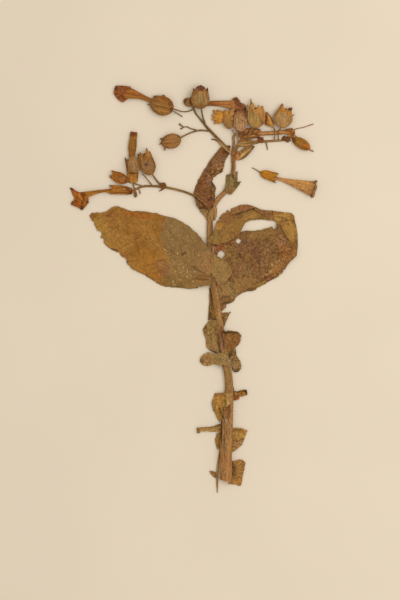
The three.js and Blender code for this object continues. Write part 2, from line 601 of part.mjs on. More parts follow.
const flowers = {
  far_flower: {
    tube: [[-32, 143, 2.2], [-42, 147, 2.2], [-52, 149.6, 2]], widths: [3, 3.6, 5, 7.4, 8.4], height: 3.6,
    petals: [
      [[-49.6, 145.6], [-49, 154.2]],
      [[-54.8, 142.8], [-55, 154.6]],
      [[-58.6, 145], [-59.6, 154.2]],
      [[-61, 149], [-60.4, 152]],
    ],
    clearOf: [bud(FAR_CALYX[0], FAR_CALYX[1] + 2 * GAP, FAR_CALYX[2] + 2 * GAP)],
  },
  upright_flower: {
    cup: {
      spine: [[-46, 80.7, 1.1], [-46.8, 90, 1.2], [-48, 99, 1.2]], width: 10, height: 2.4,
      teeth: [0.02, 0.1, 0.02, 0.12, 0.06],
    },
    tube: [[-47, 96, 1.3], [-46.8, 106, 1.4], [-45.6, 118.4, 1.4]], widths: [3.4, 4.2, 5.2, 6.2, 5.6, 4.9],
    height: 2.6, lobes: 0.04,
  },
  star_flower: {
    cup: {
      spine: [[-46.6, 73.9, 1.3], [-56, 75, 1.4], [-63.4, 75.2, 1.4]], width: 7.2, height: 2.8,
      teeth: [0.04, 0.1, 0.02, 0.16, 0.2],
    },
    tube: [[-61, 75, 1.4], [-72, 73.8, 1.5], [-83, 71, 1.6]], widths: [1.8, 1.9, 2.4, 3.4, 5], height: 2.8,
    petals: [
      [[-94.4, 76.8], [-93.2, 76.4]],
      [[-91.8, 71.4], [-87.6, 73.6]],
      [[-93.6, 64.4], [-82.4, 72.8]],
      [[-88.6, 61.6], [-80, 69.6]],
      [[-85.6, 60], [-81.2, 63.2]],
    ],
  },
  hidden_flower: {
    cup: { spine: [[0, 139.5, 1.1], [5, 141, 1.1], [11, 141.4, 1.1]], width: 5.4, height: 2 },
    tube: [[8, 141.2, 1.1], [20, 141, 1.5], [33, 139.8, 1.8]], widths: [3, 3.4, 4, 4.8, 6, 8.4],
    height: 3.2,
    petals: [
      [[31, 136.4], [30.6, 144.4]],
      [[34.2, 135.2], [33.6, 144.8]],
      [[37.4, 136], [36.6, 141.4]],
      [[40, 136.8], [40.8, 141.4]],
    ],
  },
  lying_flower: {
    cup: { spine: [[34.2, 116.4, 1.4], [42, 118.2, 1.6], [50.2, 118.2, 1.6]], width: 8.4, height: 3 },
    tube: [[48.6, 118, 1.5], [62, 118.6, 1.4], [74, 119.8, 1.5]], widths: [2.9, 3, 3, 3, 3.4, 4.6],
    height: 2.4,
    petals: [
      [[72.4, 115.4], [71.8, 118.6], [73.4, 122.2]],
      [[75, 115.2], [75.4, 118.4], [76, 121.8]],
      [[77, 117.8], [77.3, 119.4], [77, 121]],
    ],
    thread: [[76.4, 120.4, 0.8, 0.3], [78, 121.6, 0.6, 0], [84, 123, 0.6, 0], [92, 125.6, 0.6, 0]],
  },
  fallen_flower: {
    cup: {
      spine: [[51, 88.2, 1.6], [57, 86.2, 1.6], [62.2, 84.2, 1.6]], width: 7, height: 3.2,
      teeth: [0.1, 0.16, 0.04, 0.16, 0.1],
    },
    tube: [[59.4, 85.3, 1.6], [74, 81, 1.8], [91.4, 75.8, 2]], widths: [2, 2.2, 3.4, 5.8, 8.6, 11.2],
    height: 3.8,
    petals: [
      [[90, 70.2], [88.6, 76], [91.6, 81.6]],
      [[92, 70.8], [91.4, 76.4], [93.6, 82]],
      [[93, 74.4], [93.2, 77], [94, 79.6]],
    ],
    stalk: [[44.6, 92.2, 0.9, 0], [48, 90.4, 0.9, 0.4], [52, 87.8, 1.2, 1]],
  },
};
const crossed = ["top_fruit_calyx", "pale_fruit_calyx", "pale_fruit_capsule", "middle_fruit_calyx"].map(
  (name) => parts[name][1],
);
for (const [name, f] of Object.entries(flowers)) {
  const solids = [trumpet(f.tube, f.widths, f.height, f)];
  if (f.petals) solids.push(blade(f.petals, { thickness: PETALS }));
  if (f.thread) solids.push(limb(f.thread));
  if (f.cup) {
    const sleeve = [[0, 0], [0, 1], [SLEEVE, 1], [SLEEVE, 0]];
    const base = pressed(f.tube, f.widths[1] + 2 * GAP, f.height + 2 * GAP, sleeve);
    const cup = [calyx(f.cup.spine, f.cup.width, f.cup.height, f.cup)];
    if (f.stalk) cup.push(limb(f.stalk));
    parts[`${name}_calyx`] = ["calyx", cutClear(fuse(cup), [base, ...boughSpaces, ...crossed])];
  }
  const around = [...boughSpaces, ...crossed, ...(f.clearOf ?? [])];
  parts[`${name}_corolla`] = ["corolla", cutClear(fuse(solids), around)];
}

// ---- The shoot -------------------------------------------------------------------------------

const shoot = new THREE.Group();
for (const [name, [finish, solid]] of Object.entries(parts)) {
  const mesh = new THREE.Mesh(geometryOf(solid), new THREE.MeshStandardMaterial(finishes[finish]));
  mesh.name = name;
  shoot.add(mesh);
}
// The origin is under the middle of the shoot, on the surface that it lies on.
const middle = new THREE.Box3().setFromObject(shoot).getCenter(new THREE.Vector3());
shoot.position.set(-middle.x, -middle.y, 0);

export default shoot;
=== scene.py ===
"""A cut flowering shoot of tobacco, pressed and dried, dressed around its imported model.

Lengths are in millimetres on the flattened shoot, and become metres when a piece is laid in its place.
"""

import json
import logging
import math
from dataclasses import dataclass, field
from enum import Enum
from typing import Any, Callable, Optional, Sequence

import bpy
import numpy as np
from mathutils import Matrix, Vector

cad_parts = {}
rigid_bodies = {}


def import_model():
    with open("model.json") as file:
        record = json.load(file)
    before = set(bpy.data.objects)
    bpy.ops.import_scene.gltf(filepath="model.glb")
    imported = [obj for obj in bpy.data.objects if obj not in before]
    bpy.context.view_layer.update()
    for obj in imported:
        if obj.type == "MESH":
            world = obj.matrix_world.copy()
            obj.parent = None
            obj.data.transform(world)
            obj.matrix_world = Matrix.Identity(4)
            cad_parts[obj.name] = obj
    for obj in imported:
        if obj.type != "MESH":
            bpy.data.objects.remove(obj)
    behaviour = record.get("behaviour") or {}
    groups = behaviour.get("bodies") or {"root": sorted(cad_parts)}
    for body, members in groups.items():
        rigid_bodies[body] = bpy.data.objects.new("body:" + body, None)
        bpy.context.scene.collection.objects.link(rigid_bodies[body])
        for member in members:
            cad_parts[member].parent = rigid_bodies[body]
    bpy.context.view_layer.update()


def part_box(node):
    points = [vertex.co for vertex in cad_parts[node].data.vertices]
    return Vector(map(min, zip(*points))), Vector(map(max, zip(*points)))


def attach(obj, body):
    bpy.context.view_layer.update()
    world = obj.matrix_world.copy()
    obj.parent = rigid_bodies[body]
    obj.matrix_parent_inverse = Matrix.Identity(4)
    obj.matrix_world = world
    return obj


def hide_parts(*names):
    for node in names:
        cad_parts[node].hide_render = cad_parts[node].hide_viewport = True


logging.basicConfig(level=logging.INFO, format="%(message)s")
LOG = logging.getLogger("shoot")

MM = 0.001
GRAIN = "grain"  # pattern coordinates along and across a piece
SHADE = "shade"  # painted shade down to -1 in folds and grooves, painted highlight up to 1 on ridges; on some veins it darkens their own colour
Points = Sequence[Sequence[float]]
Colour = tuple[int, int, int]
Array = np.ndarray


class Slot(Enum):
    """The record's material slots."""

    STEM = "stem"
    GREEN_LEAF = "green_leaf"
    BROWN_LEAF = "brown_leaf"
    WITHERED_LEAF = "withered_leaf"
    CALYX = "calyx"
    CAPSULE = "capsule"
    COROLLA = "corolla"


# ---- Curves and noise --------------------------------------------------------------------------


class Line:
    """A smooth line through points, with each coordinate a column."""

    def __init__(self, points: Points) -> None:
        """Keeps the points, with one more in line at each end.

        Args:
            points: The points that the line passes through.
        """
        inner = np.array(points, float)
        self.points = np.vstack([2 * inner[0] - inner[1], inner, 2 * inner[-1] - inner[-2]])
        self.count = len(inner)

    def at(self, t: Array) -> Array:
        """The places on the line.

        Args:
            t: Shares of the way along it. Below 0 and above 1 it runs straight on.

        Returns:
            One row for each share.
        """
        where = np.clip(t, 0, 1) * (self.count - 1)
        i = np.minimum(where.astype(int), self.count - 2)
        w = (where - i)[:, None]
        p0, p1, p2, p3 = (self.points[i + k] for k in range(4))
        d0, d1, d2 = (np.sqrt(np.linalg.norm(b - a, axis=1))[:, None] for a, b in ((p0, p1), (p1, p2), (p2, p3)))
        d1 = np.maximum(d1, 1e-4)
        m1 = ((p1 - p0) / d0 - (p2 - p0) / (d0 + d1) + (p2 - p1) / d1) * d1
        m2 = ((p2 - p1) / d1 - (p3 - p1) / (d1 + d2) + (p3 - p2) / d2) * d1
        c2 = -3 * p1 + 3 * p2 - 2 * m1 - m2
        c3 = 2 * p1 - 2 * p2 + m1 + m2
        places = p1 + w * (m1 + w * (c2 + w * c3))
        if np.any((t < 0) | (t > 1)):
            step = 0.03
            ends = self.at(np.array([0, step, 1 - step, 1]))
            past = np.maximum(t - 1, 0)[:, None] / step
            before = np.maximum(-t, 0)[:, None] / step
            places += past * (ends[3] - ends[2]) + before * (ends[0] - ends[1])
        return places

    def side(self, t: Array) -> Array:
        """Level unit vectors to the left of the line's direction, at shares t of its length."""
        step = 1e-3
        inside = np.clip(t, step, 1 - step)
        along = self.at(inside + step)[:, :2] - self.at(inside - step)[:, :2]
        along /= np.linalg.norm(along, axis=1)[:, None]
        return np.column_stack([-along[:, 1], along[:, 0], np.zeros(len(along))])

    def run(self, t: Array) -> Array:
        """The distances along the line to shares t of it."""
        shares = np.linspace(0, 1, 400)
        gaps = np.linalg.norm(np.diff(self.at(shares), axis=0), axis=1)
        return np.interp(t, shares, np.concatenate([[0], np.cumsum(gaps)]))

    def length(self) -> float:
        """How long the line is."""
        return float(self.run(np.array([1.0]))[0])

    def even(self, t: Array) -> Array:
        """The places at even steps of distance, where t is a share of the length."""
        shares = np.linspace(0, 1, 400)
        return self.at(np.interp(t * self.length(), self.run(shares), shares))


def steps(values: Sequence[float], t: Array) -> Array:
    """A list of values read in straight steps, at shares t of it."""
    return np.interp(t, np.linspace(0, 1, len(values)), values)


def rough(places: Array, size: float, seed: int, octaves: int = 3) -> Array:
    """Smooth random heights between about -1 and 1.

    Args:
        places: One row of coordinates for each height.
        size: The distance over which the heights change.
        seed: Which random field.
        octaves: How many fields, each of half the size of the last.

    Returns:
        One height for each row.
    """
    primes = np.array([374761393, 668265263, 2246822519])[: places.shape[1]]
    total = np.zeros(len(places))
    for octave in range(octaves):
        at = places / size * 2**octave + 17.31 * (seed + octave)
        cell = np.floor(at).astype(np.int64)
        w = at - cell
        w = w * w * (3 - 2 * w)
        for corner in np.ndindex(*(2,) * places.shape[1]):
            key = ((cell + corner) * primes).sum(1) & 0xFFFFFFFF
            key = ((key ^ (key >> 15)) * 2246822519) & 0xFFFFFFFF
            key = (key ^ (key >> 13)) & 0xFFFF
            share = np.prod(np.where(np.array(corner) == 1, w, 1 - w), axis=1)
            total += share * (key / 0x7FFF - 1) * 0.5**octave
    return total / (2 - 0.5 ** (octaves - 1))


def bell(x: Array, width: float) -> Array:
    """A smooth bump of height 1 and the given half-width round x = 0."""
    return np.exp(-((x / width) ** 2))


def rise(x: Array, low: float, high: float) -> Array:
    """0 up to low, 1 from high, and smooth between."""
    w = np.clip((x - low) / (high - low), 0, 1)
    return w * w * (3 - 2 * w)


# ---- Making meshes -----------------------------------------------------------------------------


class Bench:
    """Models pieces with Blender's own tools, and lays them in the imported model's frame."""

    origin = np.zeros(3)  # the model's origin on the flattened shoot

    @staticmethod
    def alone(piece: bpy.types.Object) -> bpy.types.Object:
        """Selects the piece and nothing else, and makes it the active one."""
        bpy.ops.object.select_all(action="DESELECT")
        piece.select_set(True)
        bpy.context.view_layer.objects.active = piece
        return piece

    @staticmethod
    def places(piece: bpy.types.Object) -> Array:
        """The piece's vertices, one row each."""
        flat = np.empty(len(piece.data.vertices) * 3)
        piece.data.vertices.foreach_get("co", flat)
        return flat.reshape(-1, 3)

    @staticmethod
    def sheet(name: str, columns: int, rows: int) -> bpy.types.Object:
        """A flat grid to be shaped, from -1 to 1 each way."""
        bpy.ops.object.select_all(action="DESELECT")
        bpy.ops.mesh.primitive_grid_add(x_subdivisions=columns, y_subdivisions=rows, size=2)
        bpy.context.object.name = name
        return bpy.context.object

    @classmethod
    def rod(cls, name: str, sides: int, rings: int) -> bpy.types.Object:
        """A closed cylinder to be shaped, from -1 to 1 along Z, cut into rings along its length."""
        bpy.ops.object.select_all(action="DESELECT")
        bpy.ops.mesh.primitive_cylinder_add(vertices=sides, radius=1, depth=2, end_fill_type="TRIFAN")
        blank = bpy.context.object
        blank.name = name
        most = 40
        coarse = math.ceil(rings / most)
        for cuts in (coarse - 1, math.ceil(rings / coarse) - 1):
            if cuts > 0:
                cls.split_lengthwise(blank, cuts)
        return blank

    @classmethod
    def split_lengthwise(cls, blank: bpy.types.Object, cuts: int) -> None:
        """Cuts every edge that runs along Z into equal parts."""
        mesh = blank.data
        ends = np.empty(len(mesh.edges) * 2, int)
        mesh.edges.foreach_get("vertices", ends)
        ends = ends.reshape(-1, 2)
        height = cls.places(blank)[:, 2]
        chosen = np.abs(height[ends[:, 0]] - height[ends[:, 1]]) > 1e-6
        corners = np.zeros(len(mesh.vertices), bool)
        corners[ends[chosen].ravel()] = True
        mesh.vertices.foreach_set("select", corners)
        mesh.edges.foreach_set("select", chosen)
        mesh.polygons.foreach_set("select", np.zeros(len(mesh.polygons), bool))
        bpy.context.tool_settings.mesh_select_mode = (False, True, False)
        bpy.ops.object.mode_set(mode="EDIT")
        bpy.ops.mesh.subdivide(number_cuts=cuts)
        bpy.ops.object.mode_set(mode="OBJECT")

    @classmethod
    def lay(cls, piece: bpy.types.Object, places: Array, grain: Array, shade: Array, floor: float = 0) -> None:
        """Moves each vertex to its place on the shoot, and keeps its pattern coordinates.

        Args:
            piece: The blank.
            places: One row of millimetres for each vertex.
            grain: One row of three pattern coordinates for each vertex.
            shade: How much painted highlight, above 0, or painted shade, below 0, each vertex has.
            floor: The lowest height that a vertex may have.
        """
        placed = places - cls.origin
        placed[:, 2] = np.maximum(placed[:, 2], floor)
        mesh = piece.data
        mesh.vertices.foreach_set("co", (placed * MM).ravel())
        layer = mesh.attributes.new(GRAIN, "FLOAT_VECTOR", "POINT")
        layer.data.foreach_set("vector", grain.astype(np.float32).ravel())
        layer = mesh.attributes.new(SHADE, "FLOAT", "POINT")
        layer.data.foreach_set("value", np.clip(shade, -1, 1).astype(np.float32))
        mesh.update()

    @classmethod
    def modify(cls, piece: bpy.types.Object, kind: str, **settings: Any) -> None:
        """Adds a modifier to the piece and applies it."""
        cls.alone(piece)
        modifier = piece.modifiers.new(kind.title(), kind)
        for key, value in settings.items():
            setattr(modifier, key, value)
        bpy.ops.object.modifier_apply(modifier=modifier.name)

    @classmethod
    def delete_faces(cls, piece: bpy.types.Object, chosen: Array) -> None:
        """Deletes the faces that an array of True and False names."""
        cls.alone(piece)
        mesh = piece.data
        mesh.vertices.foreach_set("select", np.zeros(len(mesh.vertices), bool))
        mesh.edges.foreach_set("select", np.zeros(len(mesh.edges), bool))
        mesh.polygons.foreach_set("select", chosen)
        bpy.context.tool_settings.mesh_select_mode = (False, False, True)
        bpy.ops.object.mode_set(mode="EDIT")
        bpy.ops.mesh.delete(type="FACE")
        bpy.ops.object.mode_set(mode="OBJECT")

    @classmethod
    def keep_largest(cls, piece: bpy.types.Object) -> None:
        """Deletes the loose scraps that torn edges leave beside the largest shell."""
        mesh = piece.data
        ends = np.empty(len(mesh.edges) * 2, int)
        mesh.edges.foreach_get("vertices", ends)
        ends = ends.reshape(-1, 2)
        label = np.arange(len(mesh.vertices))
        before = label - 1
        while not np.array_equal(before, label):
            before = label.copy()
            lowest = np.minimum(label[ends[:, 0]], label[ends[:, 1]])
            np.minimum.at(label, ends[:, 0], lowest)
            np.minimum.at(label, ends[:, 1], lowest)
            label = label[label]
        main = np.bincount(label).argmax()
        loose = np.array([label[polygon.vertices[0]] != main for polygon in mesh.polygons])
        if loose.any():
            cls.delete_faces(piece, loose)

    @classmethod
    def union(cls, piece: bpy.types.Object, others: Sequence[bpy.types.Object]) -> bpy.types.Object:
        """Joins the others to the piece as one closed body, and removes them."""
        for other in others:
            cls.modify(piece, "BOOLEAN", operation="UNION", solver="MANIFOLD", object=other)
            bpy.data.meshes.remove(other.data)
        return piece

    @classmethod
    def join(cls, pieces: Sequence[bpy.types.Object]) -> bpy.types.Object:
        """Gathers closed shells that lie on each other, such as folded petals, into one piece."""
        cls.alone(pieces[0])
        for piece in pieces[1:]:
            piece.select_set(True)
        bpy.ops.object.join()
        return pieces[0]

    @classmethod
    def finish(cls, piece: bpy.types.Object, material: bpy.types.Material, slot: Slot, *nodes: str) -> None:
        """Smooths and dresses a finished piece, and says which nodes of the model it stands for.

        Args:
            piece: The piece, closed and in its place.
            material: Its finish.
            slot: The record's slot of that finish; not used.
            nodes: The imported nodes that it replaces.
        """
        cls.alone(piece)
        bpy.ops.object.mode_set(mode="EDIT")
        bpy.ops.mesh.select_all(action="SELECT")
        bpy.ops.mesh.normals_make_consistent(inside=False)
        bpy.ops.object.mode_set(mode="OBJECT")
        bpy.ops.object.shade_smooth_by_angle(angle=math.radians(55))
        piece.data.materials.clear()
        piece.data.materials.append(material)
        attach(piece, "root")
        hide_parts(*nodes)
        LOG.info("%s: %d faces, for %s", piece.name, len(piece.data.polygons), ", ".join(nodes))


# ---- Shaders -----------------------------------------------------------------------------------


def linear(colour: Colour) -> tuple[float, float, float, float]:
    """An everyday colour, from 0 to 255, as one of Blender's."""
    parts = [c / 255 for c in colour]
    return (*(c / 12.92 if c <= 0.04045 else ((c + 0.055) / 1.055) ** 2.4 for c in parts), 1.0)


def toned(colour: Colour, factor: float) -> Colour:
    """The colour made lighter or darker by a factor."""
    return tuple(min(255, round(c * factor)) for c in colour)


class Value:
    """A number in a shader, which Python arithmetic adds Math nodes to."""

    def __init__(self, shader: "Shader", socket: bpy.types.NodeSocket) -> None:
        """Wraps a socket of the shader."""
        self.shader, self.socket = shader, socket

    def math(self, operation: str, *terms: Any) -> "Value":
        """A Math node on the terms, in their order."""
        node = self.shader.node("ShaderNodeMath", {"operation": operation}, dict(enumerate(terms)))
        return Value(self.shader, node.outputs[0])

    def __add__(self, other: Any) -> "Value":
        """self + other."""
        return self.math("ADD", self, other)

    def __sub__(self, other: Any) -> "Value":
        """self - other."""
        return self.math("SUBTRACT", self, other)

    def __rsub__(self, other: Any) -> "Value":
        """other - self."""
        return self.math("SUBTRACT", other, self)

    def __mul__(self, other: Any) -> "Value":
        """self * other."""
        return self.math("MULTIPLY", self, other)

    def __abs__(self) -> "Value":
        """The size of self."""
        return self.math("ABSOLUTE", self)

    def __mod__(self, other: Any) -> "Value":
        """What is left of self after whole steps of other."""
        return self.math("FLOORED_MODULO", self, other)

    __radd__ = __add__
    __rmul__ = __mul__

    def rise(self, low: float, high: float) -> "Value":
        """0 where self is at low and 1 where it is at high, smooth between. low may be the greater."""
        if low > high:
            return 1 - self.rise(high, low)
        ends = {"Value": self, "From Min": low, "From Max": high}
        node = self.shader.node("ShaderNodeMapRange", {"interpolation_type": "SMOOTHSTEP"}, ends)
        return Value(self.shader, node.outputs[0])


class Shader:
    """Builds the nodes of one dry, dull material."""

    def __init__(self, name: str) -> None:
        """Starts an empty material of that name, with places in millimetres."""
        self.material = bpy.data.materials.new(name)
        self.material.use_nodes = True
        self.tree = self.material.node_tree
        self.tree.nodes.clear()
        metres = self.node("ShaderNodeTexCoord", {}, {}).outputs["Object"]
        self.place = self.scaled(metres, 1 / MM, 1 / MM, 1 / MM)
        self.grain = self.node("ShaderNodeAttribute", {"attribute_name": GRAIN}, {}).outputs["Vector"]
        parts = self.node("ShaderNodeSeparateXYZ", {}, {0: self.grain}).outputs
        self.first, self.second, self.third = (Value(self, socket) for socket in parts)
        self.shade = Value(self, self.node("ShaderNodeAttribute", {"attribute_name": SHADE}, {}).outputs["Fac"])

    def node(self, kind: str, settings: dict, inputs: dict) -> bpy.types.Node:
        """Adds a node.

        Args:
            kind: Blender's name for it.
            settings: Its own settings, which are made first.
            inputs: A number, socket or Value for each input, by its name or number.

        Returns:
            The node.
        """
        node = self.tree.nodes.new(kind)
        for key, value in settings.items():
            setattr(node, key, value)
        for key, value in inputs.items():
            if isinstance(value, Value):
                value = value.socket
            if isinstance(value, bpy.types.NodeSocket):
                self.tree.links.new(value, node.inputs[key])
            else:
                node.inputs[key].default_value = value
        return node

    def scaled(self, vector: bpy.types.NodeSocket, x: float, y: float, z: float) -> bpy.types.NodeSocket:
        """The vector with each part multiplied."""
        node = self.node("ShaderNodeVectorMath", {"operation": "MULTIPLY"}, {0: vector, 1: (x, y, z)})
        return node.outputs[0]

    def noise(self, size: float, detail: float = 3, where: Optional[bpy.types.NodeSocket] = None) -> Value:
        """Cloudy noise from 0 to 1, with features of a size in the units of where, or in millimetres."""
        inputs = {"Vector": where or self.place, "Scale": 1 / size, "Detail": detail, "Roughness": 0.6}
        return Value(self, self.node("ShaderNodeTexNoise", {}, inputs).outputs["Fac"])

    def net(self, size: float) -> Value:
        """1 on the fine lines between random cells of a size in millimetres, and 0 inside them."""
        inputs = {"Vector": self.place, "Scale": 1 / size}
        node = self.node("ShaderNodeTexVoronoi", {"feature": "DISTANCE_TO_EDGE"}, inputs)
        return Value(self, node.outputs["Distance"]).rise(0.14, 0.0)

    def mix(self, mask: Any, low: Any, high: Any) -> bpy.types.NodeSocket:
        """The colour low where the mask is 0, and high where it is 1."""
        inputs = {0: mask, 6: low, 7: high}
        inputs = {key: linear(value) if isinstance(value, tuple) else value for key, value in inputs.items()}
        return self.node("ShaderNodeMix", {"data_type": "RGBA"}, inputs).outputs[2]

    def dots(self, size: float) -> Value:
        """1 at the middle of random cells of a size in millimetres, and 0 round them."""
        inputs = {"Vector": self.place, "Scale": 1 / size}
        return Value(self, self.node("ShaderNodeTexVoronoi", {}, inputs).outputs["Distance"]).rise(0.42, 0.2)

    def mottled(self, colour: bpy.types.NodeSocket, noise: Value, depth: float) -> bpy.types.NodeSocket:
        """The colour made darker where the noise is under a half, and paler where it is over."""
        inputs = {"Vector": colour, "Scale": 1 + (noise - 0.5) * depth}
        return self.node("ShaderNodeVectorMath", {"operation": "SCALE"}, inputs).outputs[0]

    def shaded(self, colour: bpy.types.NodeSocket, dark: Colour, pale: Colour) -> bpy.types.NodeSocket:
        """The colour with painted shade in the piece's folds and painted highlight on its ridges."""
        colour = self.mix(self.shade.rise(0.0, -1.0) * 0.85, colour, dark)
        return self.mix(self.shade.rise(0.0, 1.0) * 0.7, colour, pale)

    def finish(self, colour: bpy.types.NodeSocket, roughness: Value, relief: Value, depth: float) -> bpy.types.Material:
        """Ends the material.

        Args:
            colour: The base colour.
            roughness: The roughness.
            relief: Heights from 0 to 1.
            depth: What a height of 1 is, in millimetres.

        Returns:
            The material.
        """
        surface = self.node("ShaderNodeBsdfPrincipled", {}, {"Base Color": colour, "Roughness": roughness})
        surface.inputs["Specular IOR Level"].default_value = 0.08
        bump = self.node("ShaderNodeBump", {}, {"Height": relief, "Distance": depth * MM, "Strength": 1.0})
        self.tree.links.new(bump.outputs[0], surface.inputs["Normal"])
        self.node("ShaderNodeOutputMaterial", {}, {"Surface": surface.outputs[0]})
        return self.material


@dataclass(frozen=True)
class Tint:
    """A zone of another colour, soft at its rim, as an ellipse on the shoot."""

    x: float
    y: float
    along: float
    across: float
    turn: float  # of the first radius, in degrees from +X
    colour: Colour
    strength: float = 0.85
    ragged: float = 0.9
    soft: float = 0.4  # width of its rim, as a share of its radii

    def mask(self, shader: Shader, noise: Value) -> Value:
        """How strong this tint is at each place.

        Args:
            shader: The shader.
            noise: What breaks up the tint's rim.

        Returns:
            The strength, from 0 to the tint's own.
        """
        inputs = {
            "Vector": shader.place,
            "Location": (self.x - Bench.origin[0], self.y - Bench.origin[1], 0.0),
            "Rotation": (0.0, 0.0, math.radians(self.turn)),
            "Scale": (self.along, self.across, 1e4),
        }
        local = shader.node("ShaderNodeMapping", {"vector_type": "TEXTURE"}, inputs).outputs[0]
        far = shader.node("ShaderNodeVectorMath", {"operation": "LENGTH"}, {0: local}).outputs["Value"]
        near = 1 - Value(shader, far) + (noise - 0.5) * self.ragged
        return near.rise(-0.25 * self.soft, 0.75 * self.soft) * self.strength

    def over(self, shader: Shader, colour: Any, noise: Value) -> bpy.types.NodeSocket:
        """The colour with this tint laid over it.

        Args:
            shader: The shader.
            colour: The colour below.
            noise: What breaks up the tint's rim.

        Returns:
            The new colour.
        """
        return shader.mix(self.mask(shader, noise), colour, self.colour)


@dataclass(frozen=True)
class LeafFinish:
    """Dried leaf: clouds of two colours, tints, side veins, a fine net, specks, and painted shade in its creases with
    painted highlight on its ridges.
    """

    base: Colour
    cloud: Colour
    vein: Colour
    speck: Colour
    tints: tuple[Tint, ...] = ()
    cloud_size: float = 14
    specks: float = 0.5
    pale_specks: float = 0.3
    spotted: tuple[Tint, ...] = ()  # zones of small pale spots
    mottle: float = 1.4
    veins: float = 0.5
    cells: float = 2.2
    bump: float = 0.35

    @classmethod
    def of(cls, base: Colour, *tints: Tint, **more: Any) -> "LeafFinish":
        """A finish whose other colours are darker tones of its base."""
        shades = {"cloud": toned(base, 0.87), "vein": toned(base, 0.74), "speck": toned(base, 0.6)}
        return cls(base=base, tints=tints, **{**shades, **more})

    def material(self, name: str) -> bpy.types.Material:
        """The material of this finish."""
        s = Shader(name)
        ragged = s.noise(8, 4)
        fine = s.noise(1.5, 4)
        blotch = s.noise(4, 4)
        colour = s.mix(s.noise(self.cloud_size, 4).rise(0.38, 0.62), self.base, self.cloud)
        for tint in self.tints:
            colour = tint.over(s, colour, ragged)
        colour = s.mottled(colour, fine * 0.6 + blotch * 0.4, self.mottle)
        colour = s.mix((fine * 0.5 + blotch * 0.5).rise(0.5, 0.66) * self.specks, colour, self.speck)
        pale = (fine * 0.6 + s.noise(6) * 0.4).rise(0.53, 0.66)
        colour = s.mix(pale * self.pale_specks, colour, toned(self.base, 1.35))
        for zone in self.spotted:
            spots = s.dots(1.9) * s.noise(6, 3).rise(0.36, 0.54)
            colour = s.mix(spots * zone.mask(s, ragged), colour, zone.colour)
        # a side vein lies where the grain's first part is whole, and the midrib where its second is 0
        side_vein = abs((s.first + 0.5) % 1 - 0.5).rise(0.07, 0.015) * s.noise(11).rise(0.35, 0.6)
        midrib = abs(s.second).rise(0.9, 0.3)
        lines = s.net(self.cells)
        colour = s.mix(side_vein * self.veins, colour, self.vein)
        colour = s.mix(midrib * self.veins * s.noise(9).rise(0.35, 0.6) * 0.6, colour, self.vein)
        colour = s.mix(lines * self.veins * 0.5, colour, self.speck)
        # painted shade in folds and hollows, and painted highlight on ridges, from the shade attribute
        colour = s.shaded(colour, toned(self.speck, 0.6), toned(self.base, 1.4))
        relief = lines * 0.3 + side_vein * 0.3 + fine * 0.5 + blotch * 0.4
        return s.finish(colour, 0.75 + fine * 0.2, relief, self.bump)


@dataclass(frozen=True)
class StemFinish:
    """Dried stalk: streaks along it, tints, dark flecks, and painted shade in its grooves with painted highlight on its
    ridges.
    """

    base: Colour
    streak: Colour
    dark: Colour
    tints: tuple[Tint, ...] = ()
    pitch: float = 0.5

    def material(self, name: str) -> bpy.types.Material:
        """The material of this finish."""
        s = Shader(name)
        ragged = s.noise(6, 4)
        # the grain's first two parts go round the stalk, and the third goes along it
        threads = s.noise(self.pitch, 3, s.scaled(s.grain, 1, 1, 0.06))
        bands = s.noise(self.pitch * 2.4, 3, s.scaled(s.grain, 1, 1, 0.12))
        fine = s.noise(1.2, 4)
        colour = s.mix(bands.rise(0.38, 0.6), self.base, self.streak)
        for tint in self.tints:
            colour = tint.over(s, colour, ragged)
        colour = s.mottled(colour, fine * 0.6 + threads * 0.4, 3.8)
        colour = s.mix(threads.rise(0.52, 0.64) * 0.6, colour, self.dark)
        colour = s.mix((fine * 0.6 + s.noise(5) * 0.4).rise(0.54, 0.66) * 0.45, colour, self.dark)
        # painted shade in grooves and painted highlight on ridges, from the shade attribute
        colour = s.shaded(colour, toned(self.dark, 0.75), toned(self.base, 1.35))
        return s.finish(colour, 0.7 + fine * 0.25, threads * 0.8 + fine * 0.4, 0.3)


